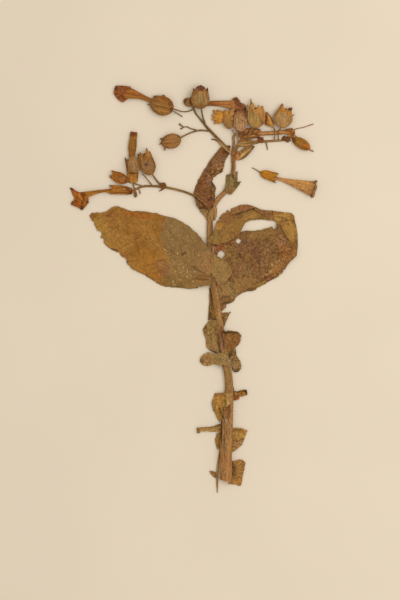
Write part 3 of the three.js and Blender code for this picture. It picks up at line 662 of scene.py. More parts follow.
@dataclass(frozen=True)
class PodFinish:
    """Papery calyx, capsule or corolla: colours in turn from its base to its mouth, ribs and a net.

    Each stop is a share of the length and a colour.
    """

    stops: tuple[tuple[float, Colour], ...]
    rib: Colour
    tints: tuple[Tint, ...] = ()
    ribs: float = 0.6
    cells: float = 1.6
    net: float = 0.45
    mottle: float = 4.0
    bump: float = 0.35

    @classmethod
    def of(cls, body: Colour, rim: Colour, *tints: Tint, **more: Any) -> "PodFinish":
        """A finish of a body and a rim."""
        return cls(tints=tints, **{"stops": ((0.6, body), (0.82, rim)), "rib": toned(body, 0.66), **more})

    def material(self, name: str) -> bpy.types.Material:
        """The material of this finish."""
        s = Shader(name)
        ragged = s.noise(3.5, 4)
        fine = s.noise(1.4, 4)
        share = s.third + (ragged - 0.5) * 0.35
        colour = self.stops[0][1]
        for (low, _), (high, hue) in zip(self.stops, self.stops[1:]):
            colour = s.mix(share.rise(low, high), colour, hue)
        for tint in self.tints:
            colour = tint.over(s, colour, ragged)
        # the grain's first two parts go round the pod, and the third is the share of its length
        threads = s.noise(0.7, 2, s.scaled(s.grain, 1, 1, 1.2))
        lines = s.net(self.cells)
        colour = s.mottled(colour, fine * 0.6 + ragged * 0.4, self.mottle)
        colour = s.mix(threads.rise(0.5, 0.64) * self.ribs, colour, self.rib)
        colour = s.mix((fine * 0.5 + ragged * 0.5).rise(0.52, 0.62) * 0.5, colour, self.rib)
        colour = s.mix((fine * 0.6 + threads * 0.4).rise(0.5, 0.38) * 0.3, colour, toned(self.stops[0][1], 1.3))
        colour = s.mix(lines * self.net, colour, self.rib)
        # painted shade in dents, inside the mouth and on the sides seen edge on, and painted highlight on bumps, from
        # the shade attribute
        colour = s.shaded(colour, toned(self.rib, 0.6), toned(self.stops[0][1], 1.35))
        relief = lines * 0.4 + threads * 0.6 + fine * 0.4
        return s.finish(colour, 0.62 + fine * 0.3, relief, self.bump)


# ---- Kinds of part -----------------------------------------------------------------------------


@dataclass(frozen=True)
class Stalk:
    """A tapering stalk. line is x, y, width and, where it is lifted off the surface, how far."""

    line: Points
    flatness: float = 0.8
    sides: int = 12
    pitch: float = 0.9  # between its rings
    ridge: float = 0.07  # depth of its grooves as a share of its half-width
    threads: float = 2.0  # how many grooves go round it, roughly
    seed: int = 0

    def model(self, name: str) -> bpy.types.Object:
        """The stalk as a closed mesh of that name."""
        line = np.array([[*point, 0.0][:4] for point in self.line], float)
        path = Line(np.column_stack([line[:, :2], line[:, 3] + line[:, 2] * self.flatness / 2]))
        length = path.length()
        rod = Bench.rod(name, self.sides, max(6, round(length / self.pitch)))
        at = Bench.places(rod)
        t = (at[:, 2] + 1) / 2
        along = path.run(t)
        around = at[:, :2] * self.threads
        grooves = rough(np.column_stack([around, along / 16]), 1, self.seed, 2)
        lumps = rough(np.column_stack([around / 2, along / 3]), 1, self.seed + 5, 2)
        half = steps(line[:, 2], t) / 2
        end = np.minimum(along, length - along) / np.maximum(half, 0.1)
        half = half * np.sqrt(np.clip(1 - (1 - np.clip(end / 0.8, 0, 1)) ** 2, 0.2, 1))
        half = half * (1 + self.ridge * (grooves + 0.5 * lumps))
        places = path.at(t) + path.side(t) * (at[:, 0] * half)[:, None]
        places[:, 2] += at[:, 1] * half * self.flatness
        width = float(line[:, 2].mean()) / 2
        grain = np.column_stack([at[:, :2] * width, along + 31 * self.seed])
        # painted shade in the grooves and painted highlight on the ridges between them
        Bench.lay(rod, places, grain, grooves * 0.6)
        return rod


@dataclass(frozen=True)
class Crease:
    """A fold of a leaf, as a ridge, or a groove where its height is below 0, from one place to another. Its shade
    paints shade along it below 0 and a highlight above 0; on veins and stripes the same marks stand for their own
    colour.
    """

    x: float
    y: float
    to_x: float
    to_y: float
    height: float = 0.4
    width: float = 0.9
    shade: float = -0.6

    def strength(self, places: Array) -> Array:
        """How near the places are to the crease, from 0 to 1."""
        start = np.array([self.x, self.y])
        along = np.array([self.to_x, self.to_y]) - start
        share = np.clip((places[:, :2] - start) @ along / (along @ along), 0, 1)
        off = np.linalg.norm(places[:, :2] - start - share[:, None] * along, axis=1)
        wander = rough(places[:, :2], 4, 3, 2) * self.width * 0.5
        return bell(off + wander, self.width)


@dataclass(frozen=True)
class Blade:
    """A dried leaf, or a scrap of one, between two edges.

    Each rib is edge, middle, edge or edge, edge, and each point is x, y and the height of its underside.
    """

    ribs: tuple
    cell: float = 0.5  # size of its faces
    thickness: float = 0.34
    lift: float = 0.4  # of its middle layer above the underside
    wrinkle: float = 0.4
    wrinkle_size: float = 7
    crinkle: float = 0.1
    fray: float = 0.5
    fray_size: float = 2.6
    vein_pitch: float = 9
    vein_lean: float = 0.75
    vein_height: float = 0.12
    bites: tuple = ()  # x, y, radius and how much the second radius is longer, of holes and torn edges
    creases: tuple[Crease, ...] = ()
    edge_shade: float = -0.3
    shares: tuple[float, float] = (0.0, 1.0)  # the third pattern coordinate at its two ends
    seed: int = 0

    def lines(self) -> list[Line]:
        """The two edges, with the middle between them."""
        points = [[[*point, 0.0][:3] for point in rib] for rib in self.ribs]
        ribs = np.array([rib if len(rib) == 3 else [rib[0], np.mean(rib, axis=0), rib[1]] for rib in points])
        return [Line(ribs[:, k]) for k in range(3)]

    def model(self, name: str) -> bpy.types.Object:
        """The blade as a closed mesh of that name."""
        low, middle, high = self.lines()
        length = max(low.length(), middle.length(), high.length())
        spread = np.linalg.norm(high.at(np.linspace(0, 1, 30)) - low.at(np.linspace(0, 1, 30)), axis=1).max()
        columns, rows = (max(8, round(size / self.cell)) for size in (length, spread))
        sheet = Bench.sheet(name, columns, rows)
        at = Bench.places(sheet)
        t, v = (at[:, 0] + 1) / 2, at[:, 1]
        centre = middle.at(t)
        edge = np.where((v < 0)[:, None], low.at(t), high.at(t))
        reach = np.linalg.norm(edge - centre, axis=1)
        places = centre + (edge - centre) * np.abs(v)[:, None]
        run = middle.run(t)
        off = reach * v
        # the edges are frayed, more so towards the rim
        ends = np.abs(2 * t - 1)
        tooth = rough(np.column_stack([run, np.sign(v) * 9]), self.fray_size, self.seed, 3)
        end_tooth = rough(np.column_stack([off, np.sign(t - 0.5) * 9]), self.fray_size, self.seed + 4, 3)
        out = (edge - centre) / np.maximum(reach, 0.5)[:, None]
        places += out * (self.fray * (tooth - 0.15) * np.abs(v) ** 6)[:, None]
        side = middle.side(t)
        forward = np.column_stack([side[:, 1], -side[:, 0], np.zeros(len(t))])
        places += forward * (self.fray * end_tooth * np.sign(t - 0.5) * ends**24)[:, None]
        # veins, wrinkles and creases give it relief
        vein = (run - self.vein_lean * np.abs(off) - 0.012 * off**2) / self.vein_pitch
        near = np.abs((vein + 0.5) % 1 - 0.5) * self.vein_pitch
        flat = places[:, :2]
        waves = rough(flat, self.wrinkle_size, self.seed + 7, 2)
        crumple = rough(flat, 1.6, self.seed + 11, 2)
        places[:, 2] += self.lift + self.wrinkle * (waves + 0.35) + self.crinkle * crumple
        places[:, 2] += self.vein_height * (bell(near, 0.5) + 1.8 * bell(off, 0.8))
        # painted highlight on raised wrinkles, painted shade in their hollows, and painted shade along the rim
        shade = 0.35 * waves * min(self.wrinkle, 1) + 0.3 * crumple * min(self.crinkle * 6, 1)
        rim = np.maximum(1 - (1 - np.abs(v)) * reach / 0.8, 0) + np.maximum(1 - (1 - ends) * length / 1.6, 0)
        shade += self.edge_shade * np.clip(rim, 0, 1)
        # each crease adds painted shade where its shade is below 0 and painted highlight where it is above
        for crease in self.creases:
            fold = crease.strength(places)
            places[:, 2] += crease.height * fold
            shade += crease.shade * fold
        grain = np.column_stack([vein, off, np.interp(t, [0, 1], self.shares)])
        Bench.lay(sheet, places, grain, shade, self.thickness / 2)
        self.bite(sheet)
        Bench.modify(sheet, "SOLIDIFY", thickness=self.thickness * MM, offset=0.0)
        return sheet

    def bite(self, sheet: bpy.types.Object) -> None:
        """Tears away the faces inside the bites."""
        mesh = sheet.data
        centres = np.empty(len(mesh.polygons) * 3)
        mesh.polygons.foreach_get("center", centres)
        flat = (centres.reshape(-1, 3) / MM + Bench.origin)[:, :2]
        chosen = np.zeros(len(flat), bool)
        for x, y, radius, longer in self.bites:
            off = (flat - (x, y)) / (radius, radius * longer)
            chosen |= np.linalg.norm(off, axis=1) + 0.3 * rough(flat, 1.2, self.seed, 2) < 1
        if chosen.any():
            Bench.delete_faces(sheet, chosen)
            Bench.keep_largest(sheet)


@dataclass(frozen=True)
class Pod:
    """A turned form, pressed flat and laid along a spine of x, y, z points from its base.

    The outline is share of the length and share of the width, from the base round to the axis.
    """

    spine: Points
    width: float
    height: float
    outline: Points
    sides: int = 56
    rings: int = 64
    nerves: int = 10
    nerve_depth: float = 0.035
    crumple: float = 0.25
    crumple_size: float = 3.0
    teeth: tuple[float, ...] = ()  # lengths past the mouth, from the upper right one round under it
    mouth_from: float = 0.8  # the share of the length where the teeth begin to part
    gap: float = 0.06
    sharpness: float = 1.25
    seed: int = 0

    def model(self, name: str) -> bpy.types.Object:
        """The pod as a closed mesh of that name."""
        path = Line(self.spine)
        length = path.length()
        contour = Line([[share * length, radius * self.width / 2, 0] for share, radius in self.outline])
        rod = Bench.rod(name, self.sides, self.rings)
        at = Bench.places(rod)
        skin = np.hypot(at[:, 0], at[:, 1]) > 0.5
        pole = 0.003
        t = (at[:, 2] + 1) / 2
        spot = contour.even(np.where(skin, pole + (1 - 2 * pole) * t, t))
        share, radius = spot[:, 0] / length, np.maximum(spot[:, 1], 0.01) * skin
        turn = np.arctan2(-at[:, 0], at[:, 1])
        body = np.sin(np.clip(share, 0, 1) * math.pi)
        nerve = np.cos(turn * self.nerves + 0.6 * np.sin(3 * turn + self.seed))
        dents = rough(np.column_stack([at[:, :2] * self.width / 2, share * length]), self.crumple_size, self.seed, 3)
        folds = rough(np.column_stack([at[:, :2] * self.width / 2, share * length / 5]), 1.1, self.seed + 3, 2)
        radius = radius * (1 + self.nerve_depth * nerve * rise(share, 0.02, 0.3))
        radius += skin * 0.5 * self.crumple * (dents + 0.5 * folds) * rise(share, 0.02, 0.2)
        longer = self.tooth(turn) * rise(share, self.mouth_from, 0.94) * skin if self.teeth else 0 * share
        reach = share + longer
        places = path.at(reach) + path.side(reach) * (at[:, 0] * radius)[:, None]
        flat = self.height / self.width
        places[:, 2] += at[:, 1] * radius * flat + self.crumple * dents * body * 0.8
        # the contour turns back into the mouth, which gets painted shade
        inside = skin * rise(share - contour.even(np.clip(t + 0.01, 0, 1))[:, 0] / length, 0.0, 0.004)
        # painted highlight on bumps and nerves, and painted shade in dents
        shade = 0.45 * dents + 0.25 * folds + 0.18 * nerve * body - 0.35 * inside * bool(self.teeth)
        # painted shade on the flattened sides, which are seen edge on
        shade = shade - 0.55 * rise(np.abs(np.sin(turn)), 0.88, 1.0)
        Bench.lay(rod, places, np.column_stack([at[:, :2] * self.width / 2, reach]), shade)
        return rod

    def tooth(self, turn: Array) -> Array:
        """How much longer the mouth is at each turn round it, as a share of the length."""
        place = (turn / (2 * math.pi) * 5) % 5
        which = np.floor(place).astype(int) % 5
        peak = np.clip(1 - np.abs(place - np.floor(place) - 0.5) * 2, 0, 1)
        tall = np.array(self.teeth)[which] + self.gap
        return tall * peak**self.sharpness - self.gap


def cup_outline(mouth: float, wall: float = 0.05, foot: float = 0.3) -> Points:
    """The outline of a thin calyx, out to a mouth of that share of its width and back inside.

    Args:
        mouth: The width of the mouth.
        wall: The thickness of the wall, as a share of the half-width.
        foot: The width where the stalk ends.

    Returns:
        The outline's points.
    """
    outside = [[0, 0], [0.02, foot], [0.12, (foot + 1) / 2], [0.32, 0.96]]
    outside += [[0.55, 1], [0.8, (1 + mouth) / 2], [0.94, mouth]]
    inside = [[0.94, mouth - wall], [0.6, 0.95 - wall], [0.34, 0.9 - wall], [0.22, 0.74 - wall], [0.12, 0.44], [0.08, 0]]
    return outside + inside


CAPSULE_OUTLINE = [[0.1, 0], [0.16, 0.34], [0.34, 0.68], [0.56, 0.78], [0.78, 0.66], [0.92, 0.42], [1.0, 0]]
BUD_OUTLINE = [[0, 0], [0.04, 0.4], [0.25, 0.88], [0.5, 1], [0.75, 0.85], [0.94, 0.45], [1, 0]]


# ---- The room ----------------------------------------------------------------------------------


@dataclass
class Studio:
    """A pale floor, soft light from the upper right, and a camera that looks straight down."""

    view_middle: tuple[float, float] = (5.0, -9.2)
    view_height: float = 459.4
    distance: float = 1500
    film: float = 36
    floor_size: float = 6000
    floor_colour: Colour = (230, 217, 197)
    light_size: float = 1100
    light_place: tuple[float, float, float] = (620, 120, 1050)
    light_power: float = 6.6
    sky: float = 0.7

    def build(self) -> None:
        """Makes the floor, the lights and the camera."""
        scene = bpy.context.scene
        scene.view_settings.view_transform = "Standard"
        self.build_floor()
        world = bpy.data.worlds.new("soft_room")
        scene.world = world
        world.use_nodes = True
        background = world.node_tree.nodes["Background"]
        background.inputs["Color"].default_value = (1.0, 0.945, 0.85, 1.0)
        background.inputs["Strength"].default_value = self.sky
        x, y = (place - corner for place, corner in zip(self.view_middle, Bench.origin))
        bpy.ops.object.select_all(action="DESELECT")
        bpy.ops.object.light_add(type="AREA", location=[place * MM for place in self.light_place])
        lamp = bpy.context.object
        lamp.data.size = self.light_size * MM
        lamp.data.energy = self.light_power
        lamp.data.color = (1.0, 1.0, 1.0)
        lamp.rotation_euler = (-lamp.location).to_track_quat("-Z", "Y").to_euler()
        bpy.ops.object.camera_add(location=(x * MM, y * MM, self.distance * MM), rotation=(0, 0, 0))
        camera = bpy.context.object
        camera.data.sensor_fit = "VERTICAL"
        camera.data.sensor_height = self.film
        camera.data.lens = self.film * self.distance / self.view_height
        scene.camera = camera
        LOG.info("studio: camera %.1f m above the shoot", self.distance * MM)

    def build_floor(self) -> None:
        """Makes the floor, just under the surface that the shoot lies on."""
        bpy.ops.object.select_all(action="DESELECT")
        bpy.ops.mesh.primitive_plane_add(size=self.floor_size * MM, location=(0, 0, -0.2 * MM))
        floor = bpy.context.object
        floor.name = "pale_floor"
        shader = Shader("pale_floor")
        cloud = shader.noise(180, 2)
        colour = shader.mix(cloud.rise(0.3, 0.7), self.floor_colour, toned(self.floor_colour, 0.985))
        floor.data.materials.append(shader.finish(colour, 0.85 + cloud * 0.1, cloud, 0.02))


# ---- Stem and boughs ---------------------------------------------------------------------------


@dataclass
class MainStem:
    """The stem from its slanted cut to the fork, with a bud in a leaf's axil, a scar and a splinter."""

    line: Points = (
        (24.7, -152, 9.8), (24.8, -137, 9.4), (24.8, -125, 9.2), (25.5, -107, 9.2), (26.4, -93, 8),
        (27.3, -80, 6.4), (26.8, -68, 6), (24.6, -57, 6), (22.3, -44, 5.8), (20.6, -30, 5.2),
        (18.2, -15, 5.2), (15.8, 0, 5), (14, 14, 4.8), (12.7, 28, 4.6), (12.5, 42, 4.6), (12.8, 52, 4.6),
        (14.6, 61.4, 4.2), (19.6, 68.8, 3.7), (25, 74.6, 3.5), (29.2, 83, 3.4), (30.6, 92, 3.3),
        (30.5, 100, 3.2), (30.6, 106, 3),
    )
    flatness: float = 0.56
    cut: tuple[float, float] = (25, -147.7)
    cut_slope: float = -5 / 16
    scar: Points = ((31.2, 97, 1.4, 0.6), (32.8, 100.6, 3.4, 0.4), (33.2, 103.6, 2.8, 0.4), (31.8, 106, 1, 0.8))
    sheath: tuple = (
        ((4.6, 60.6, 0.2), (5.6, 58, 0.2)), ((8, 60.8, 0.2), (9, 54, 0.2)), ((11, 60.8, 0.2), (11.6, 49.6, 0.2)),
        ((14, 60, 0.2), (14, 48, 0.2)),
    )
    strands: tuple[Points, ...] = (  # torn fibres that stand out of the lower part
        ((20.8, -92.6, 0.6, 2.8), (23, -98, 0.9, 5), (25.4, -103, 0.6, 5.3)),
        ((27.8, -93, 0.6, 4.4), (26.4, -98.6, 0.9, 5.2), (23.4, -104, 0.6, 5)),
        ((22.6, -101, 0.6, 4.3), (24.6, -108, 0.9, 5.3), (23.2, -117, 0.6, 4.9)),
        ((27.4, -100, 0.6, 4.6), (25.6, -107, 0.9, 5.3), (26.8, -116, 0.6, 5)),
        ((24.8, -112, 0.6, 5.3), (24, -122, 0.9, 5.2), (24.8, -134, 0.6, 5.2)),
        ((22.2, -104, 0.7, 3.6), (22, -112, 0.9, 3.4), (22.6, -124, 0.6, 3.8)),
    )
    axil_bud: Points = ((15.6, 51.6, 1.6, 0), (16.4, 55, 2.6, 0), (16.9, 59, 2.4, 0), (16.9, 63, 1, 0.4))
    splinter: Points = (
        (20.3, -123, 1, 0.4), (19, -132, 1.4, 0), (18.2, -141, 1.6, 0), (18.2, -150, 1.4, 0), (18.3, -157, 0.6, 0),
    )
    finish: StemFinish = StemFinish(
        base=(172, 128, 78), streak=(150, 108, 62), dark=(94, 62, 34),
        tints=(
            Tint(25, -136, 16, 4.6, 90, (170, 118, 70)),
            Tint(23.8, -118, 8, 1.4, 92, (140, 112, 78), 0.7), Tint(26.4, -118, 12, 1.6, 90, (180, 132, 76), 0.7),
            Tint(21, -106, 14, 1.1, 92, (74, 48, 24)), Tint(20.6, -102.4, 1.8, 1.6, 0, (60, 36, 16), 0.9),
            Tint(25, -101.6, 3.4, 1.2, 130, (196, 164, 124), 0.7), Tint(26.4, -106, 3, 0.8, 60, (190, 156, 112), 0.6),
            Tint(27, -99, 3, 0.8, 110, (188, 150, 110), 0.6), Tint(25.4, -93, 7, 3.6, 95, (128, 84, 48)),
            Tint(22, -97, 6, 0.7, 115, (74, 44, 22), 0.9), Tint(24, -93.6, 3, 0.6, 20, (88, 54, 28), 0.8),
            Tint(26.4, -64, 17, 3.4, 97, (154, 118, 70)), Tint(24, -56, 5, 1.4, 60, (148, 122, 74), 0.7),
            Tint(22, -42, 9, 2.6, 100, (146, 102, 72)), Tint(20.6, -50, 5, 1, 80, (96, 62, 34), 0.7),
            Tint(19.8, -24, 11, 1.6, 100, (176, 132, 78), 0.9), Tint(18, -16, 12, 0.6, 97, (110, 72, 38), 0.7),
            Tint(21.4, -33, 5, 1.4, 95, (126, 78, 52), 0.8), Tint(17, -4, 10, 1.4, 97, (160, 116, 66), 0.7),
            Tint(33, 101, 5, 2.4, 85, (160, 104, 58), 0.7), Tint(32, 101.6, 2.4, 0.4, 75, (136, 60, 36), 0.8),
            Tint(34, 105, 2.4, 0.5, -30, (100, 54, 30), 0.8), Tint(34.2, 100.4, 1, 1.6, 0, (196, 140, 80), 0.8),
            Tint(33, 103.6, 1.6, 0.4, -60, (110, 52, 30), 0.8), Tint(8.6, 57, 5, 4, 0, (160, 124, 76), 0.9),
            Tint(30.2, 92, 10, 0.5, 90, (104, 70, 38), 0.7), Tint(14, 57, 3.6, 4.6, 0, (160, 126, 78), 0.8),
            Tint(13.4, 18, 10, 3.4, 95, (172, 136, 88), 0.6), Tint(14, 40, 14, 1.2, 90, (104, 70, 38), 0.6), Tint(16.4, 50, 5, 0.7, 95, (84, 54, 28), 0.8),
        ),
    )

    def build(self) -> None:
        """Makes the stem and the splinter beside its foot."""
        stem = Stalk(self.line, self.flatness, sides=48, pitch=0.7, ridge=0.06, threads=4.5, seed=2).model("stem")
        Bench.alone(stem)
        x, y = (place - corner for place, corner in zip(self.cut, Bench.origin))
        bpy.ops.object.mode_set(mode="EDIT")
        bpy.ops.mesh.select_all(action="SELECT")
        bpy.ops.mesh.bisect(
            plane_co=(x * MM, y * MM, 0), plane_no=(-self.cut_slope, 1, 0), use_fill=True, clear_inner=True
        )
        bpy.ops.object.mode_set(mode="OBJECT")
        bud = Stalk(self.axil_bud, sides=16, pitch=0.5, ridge=0.15, seed=4).model("axil_bud")
        scar = Stalk(self.scar, sides=20, pitch=0.5, ridge=0.3, seed=8).model("leaf_scar")
        strands = [
            Stalk(line, sides=10, pitch=0.4, ridge=0.2, seed=i).model(f"strand_{i}")
            for i, line in enumerate(self.strands)
        ]
        sheath = Blade(self.sheath, thickness=0.9, cell=0.5, wrinkle=0.4, wrinkle_size=3, seed=3).model("node_sheath")
        Bench.union(stem, [bud, scar, sheath, *strands])
        Bench.finish(stem, self.finish.material("dry_stem"), Slot.STEM, "main_stem")
        splinter = Stalk(self.splinter, sides=10, pitch=0.6, ridge=0.15, seed=6).model("splinter")
        straw = StemFinish(base=(182, 142, 80), streak=(142, 106, 54), dark=(96, 70, 38))
        Bench.finish(splinter, straw.material("straw_splinter"), Slot.STEM, "stem_splinter")


@dataclass
class Bough:
    """A bough with the stalks that grow from it."""

    name: str
    line: Points
    twigs: tuple = ()
    base: Colour = (146, 112, 66)
    tints: tuple[Tint, ...] = ()
    node_leaf: tuple = ()
    seed: int = 0

    def build(self) -> None:
        """Makes the bough as one body."""
        bough = Stalk(self.line, sides=20, pitch=0.7, ridge=0.1, threads=2.6, seed=self.seed).model(f"dry_{self.name}")
        twigs = [
            Stalk(line, sides=12, pitch=0.6, ridge=0.12, seed=self.seed + 3 * i).model(f"{self.name}_twig_{i}")
            for i, line in enumerate(self.twigs, 1)
        ]
        if self.node_leaf:
            twigs.append(Blade(self.node_leaf, thickness=0.8, cell=0.4, seed=4).model(f"{self.name}_leaf"))
        Bench.union(bough, twigs)
        finish = StemFinish(self.base, toned(self.base, 0.8), toned(self.base, 0.58), self.tints, 0.4)
        Bench.finish(bough, finish.material(f"{self.name}_finish"), Slot.STEM, self.name)


BOUGHS = (
    Bough(
        "left_bough",
        (
            (28.6, 103, 2.5, 1.2), (25, 107.3, 2.5, 1.4), (20.6, 112, 2.4, 0.7), (13.8, 119.4, 2, 0),
            (9.4, 124.2, 1.8, 0), (4.4, 130.2, 1.4, 0), (1, 134.6, 1.1, 0.2), (-1, 139, 1, 1),
        ),
        (
            ((9.3, 124.4, 1.4, 0), (7.4, 130, 1.2, 1.4), (5.8, 137.4, 1.3, 4.6)),
            ((2.4, 133, 1, 0.2), (0.6, 136.2, 0.9, 0.5), (0.2, 138.8, 0.8, 0.6)),
            ((13.2, 119.9, 1.3, 0.2), (5, 120.6, 1.3, 0.2), (-2, 118.8, 1.1, 0.6), (-11, 114.2, 1.1, 2.6)),
            ((3, 120.8, 1, 0.3), (-2, 122, 0.9, 0.2), (-5, 123.4, 0.9, 0), (-7.6, 123.3, 0.8, 0), (-11, 125.8, 1.6, 0)),
            ((-7, 123.4, 0.7, 0), (-8.6, 122.3, 0.8, 0), (-10, 121.8, 1.4, 0)),
            ((-0.4, 136.8, 1, 0.6), (-3, 135.4, 0.8, 0.6), (-8, 134.9, 0.8, 1), (-12, 135.8, 0.9, 2), (-15.5, 136.9, 1, 2.9)),
            ((-15.8, 135.4, 0.8, 2.4), (-12.4, 133.6, 0.8, 0.8), (-8.2, 131, 0.8, 0)),
            ((27, 103.4, 1.3, 1.6), (21.2, 109.6, 1.1, 1.2), (17.6, 112.9, 1, 0.2), (13.6, 114, 0.9, 0)),
            ((26.4, 107.2, 0.7, 3), (28.2, 105.4, 0.9, 2.8), (28, 103, 0.9, 2.8), (26.2, 101.6, 0.7, 2.4)),
        ),
        tints=(
            Tint(22.4, 108.6, 9, 0.5, -47, (214, 172, 120), 0.9, 0.3), Tint(28.2, 104.4, 1, 1.8, 0, (204, 158, 100), 0.8),
            Tint(26.4, 103.2, 2.6, 0.6, -45, (84, 54, 28), 0.8), Tint(12, 121, 10, 0.5, -48, (98, 70, 36), 0.7),
        ),
        seed=11,
    ),
    Bough(
        "right_bough",
        (
            (31.4, 105.2, 2.6, 0.2), (36, 109.8, 2.2, 0), (41.2, 111, 2, 0), (47, 111.3, 1.9, 0),
            (52, 111.9, 1.8, 0), (60, 112.5, 1.6, 0), (68.4, 112.9, 1.4, 0),
        ),
        (
            ((32, 106.6, 1.3, 0.2), (34.4, 112, 1.1, 1), (33.2, 115.6, 1, 2), (31, 118.6, 1, 2.2), (29.2, 121.2, 1, 1.6)),
            ((40.4, 111, 1.2, 0.2), (41.8, 114.6, 1.1, 2.6), (42.9, 118.6, 1, 3.6), (46, 122.8, 1.2, 3)),
            ((65.2, 112.9, 1.1, 0.2), (64.8, 116.4, 1, 2.8), (65.2, 119.6, 1, 3.4), (67, 123.2, 1.2, 3)),
            ((61.6, 112.6, 1, 0.2), (62.2, 116.4, 1, 2.8), (62.4, 119.6, 0.9, 3), (61.5, 122.8, 0.9, 0.8)),
            ((55.4, 112.2, 1, 0.2), (56, 109.4, 0.9, 0), (56.8, 105.6, 0.8, 0)),
            ((49, 112.4, 1.6, 0), (50.4, 112.9, 3.4, 0), (52.4, 113.1, 3.4, 0), (54, 112.8, 1.6, 0)),
            ((67.6, 113.6, 2, 0), (69.4, 114.1, 3.6, 0), (72, 114, 3.4, 0), (74.4, 112.4, 1.2, 0)),
            ((51.6, 113.4, 1.4, 0.2), (52.4, 114.8, 1.4, 0.2), (53.8, 115.2, 0.7, 0.2)),
            ((68.4, 114.6, 1.6, 0.2), (69.2, 115.8, 1.3, 0.2), (70.4, 116.4, 0.6, 0.2)),
            ((71.4, 114.8, 1.4, 0.2), (72.6, 115.4, 1.1, 0.2), (73.6, 115, 0.6, 0.2)),
            ((70.6, 113.2, 1.4, 0.2), (71.6, 112, 1.2, 0.1), (73.2, 111.6, 0.6, 0)),
        ),
        base=(166, 124, 74),
        tints=(
            Tint(51.5, 113, 3, 2, 0, (136, 72, 36)), Tint(70.6, 114.4, 4.6, 2.6, 0, (112, 60, 30)),
            Tint(40, 110.4, 6, 1.8, 5, (178, 136, 80), 0.8), Tint(39, 114, 4, 2.4, 0, (150, 104, 60), 0.7), Tint(43.6, 111, 5, 0.7, 8, (112, 78, 40), 0.8),
            Tint(52, 113.6, 1, 1, 0, (84, 36, 22), 0.8), Tint(57, 113, 3, 0.5, 0, (110, 74, 38), 0.6),
        ),
        node_leaf=(
            ((34, 108.6, 0.2), (34.6, 112.6, 0.2)), ((37, 107.8, 0.2), (37.2, 114.8, 0.2)),
            ((40.6, 108.2, 0.2), (40.8, 115, 0.2)), ((44.4, 108.8, 0.2), (43.4, 113.8, 0.2)),
            ((48.8, 110.6, 0.2), (49, 112.6, 0.2)),
        ),
        seed=31,
    ),
    Bough(
        "lower_bough",
        (
            (14, 58.8, 2, 0), (8.5, 64.2, 1.9, 0), (3, 69, 1.9, 0), (-4, 72.6, 1.8, 0), (-12, 75, 1.7, 0),
            (-20, 76.8, 1.8, 0), (-25, 77.6, 2.2, 0), (-31, 78, 1.7, 0), (-38, 77.8, 1.6, 0), (-42, 76.6, 1.4, 0),
            (-46, 74.7, 1.3, 0.2),
        ),
        (
            ((-25.4, 79, 1.5, 0.1), (-28.4, 82.6, 1.3, 1.2), (-31.8, 87.4, 1.3, 2.2)),
            ((-31.4, 78.4, 1, 0.2), (-34.8, 82.6, 0.9, 1.8), (-39.2, 87.6, 0.9, 3.4)),
            ((-38.6, 77.8, 1.1, 0.2), (-43.4, 79.3, 1, 0.6), (-49.2, 81.3, 1, 1.2)),
            ((-45, 75.6, 1.1, 0.2), (-45.9, 78, 1, 0.3), (-46, 80.2, 1, 0.6)),
            ((-42.6, 76.2, 0.8, 0.2), (-41.2, 74.4, 0.8, 0), (-40.8, 72, 1.2, 0)),
            ((-45, 75.2, 1, 0.2), (-44.3, 73, 1.6, 0), (-44.3, 71, 2.8, 0), (-44.6, 69.2, 1, 0)),
        ),
        base=(150, 114, 64),
        tints=(Tint(-23.6, 77.6, 3.4, 3, 0, (118, 74, 36)), Tint(-44.6, 70.4, 2.4, 2, 90, (128, 88, 44))),
        node_leaf=(
            ((-26.6, 74), (-23.6, 76.4), (-26.2, 80.4)),
            ((-24.6, 74.4), (-22.4, 77.6), (-24.8, 80.8)),
            ((-21.4, 76.4), (-20.8, 78.6), (-21.6, 80.6)),
        ),
        seed=51,
    ),
    Bough(
        "middle_bough",
        ((30.7, 105, 2.4, 0), (30.9, 112, 1.9, 0.2), (30.9, 116.4, 1.7, 0.6), (33.4, 118.4, 1.5, 1.4)),
        base=(172, 132, 84),
        seed=71,
    ),
)


# ---- Leaves ------------------------------------------------------------------------------------


@dataclass
class Leaf:
    """A leaf, or a part of one, with its finish."""

    node: str
    blade: Blade
    finish: LeafFinish
    slot: Slot = Slot.WITHERED_LEAF
    more: tuple[Blade, ...] = ()

    def build(self) -> None:
        """Makes the leaf, and joins the blades that lie on it."""
        blades = [blade.model(f"{self.node}_{i}") for i, blade in enumerate((self.blade, *self.more))]
        piece = Bench.join(blades) if self.more else blades[0]
        piece.name = f"dried_{self.node}"
        Bench.finish(piece, self.finish.material(f"{self.node}_finish"), self.slot, self.node)


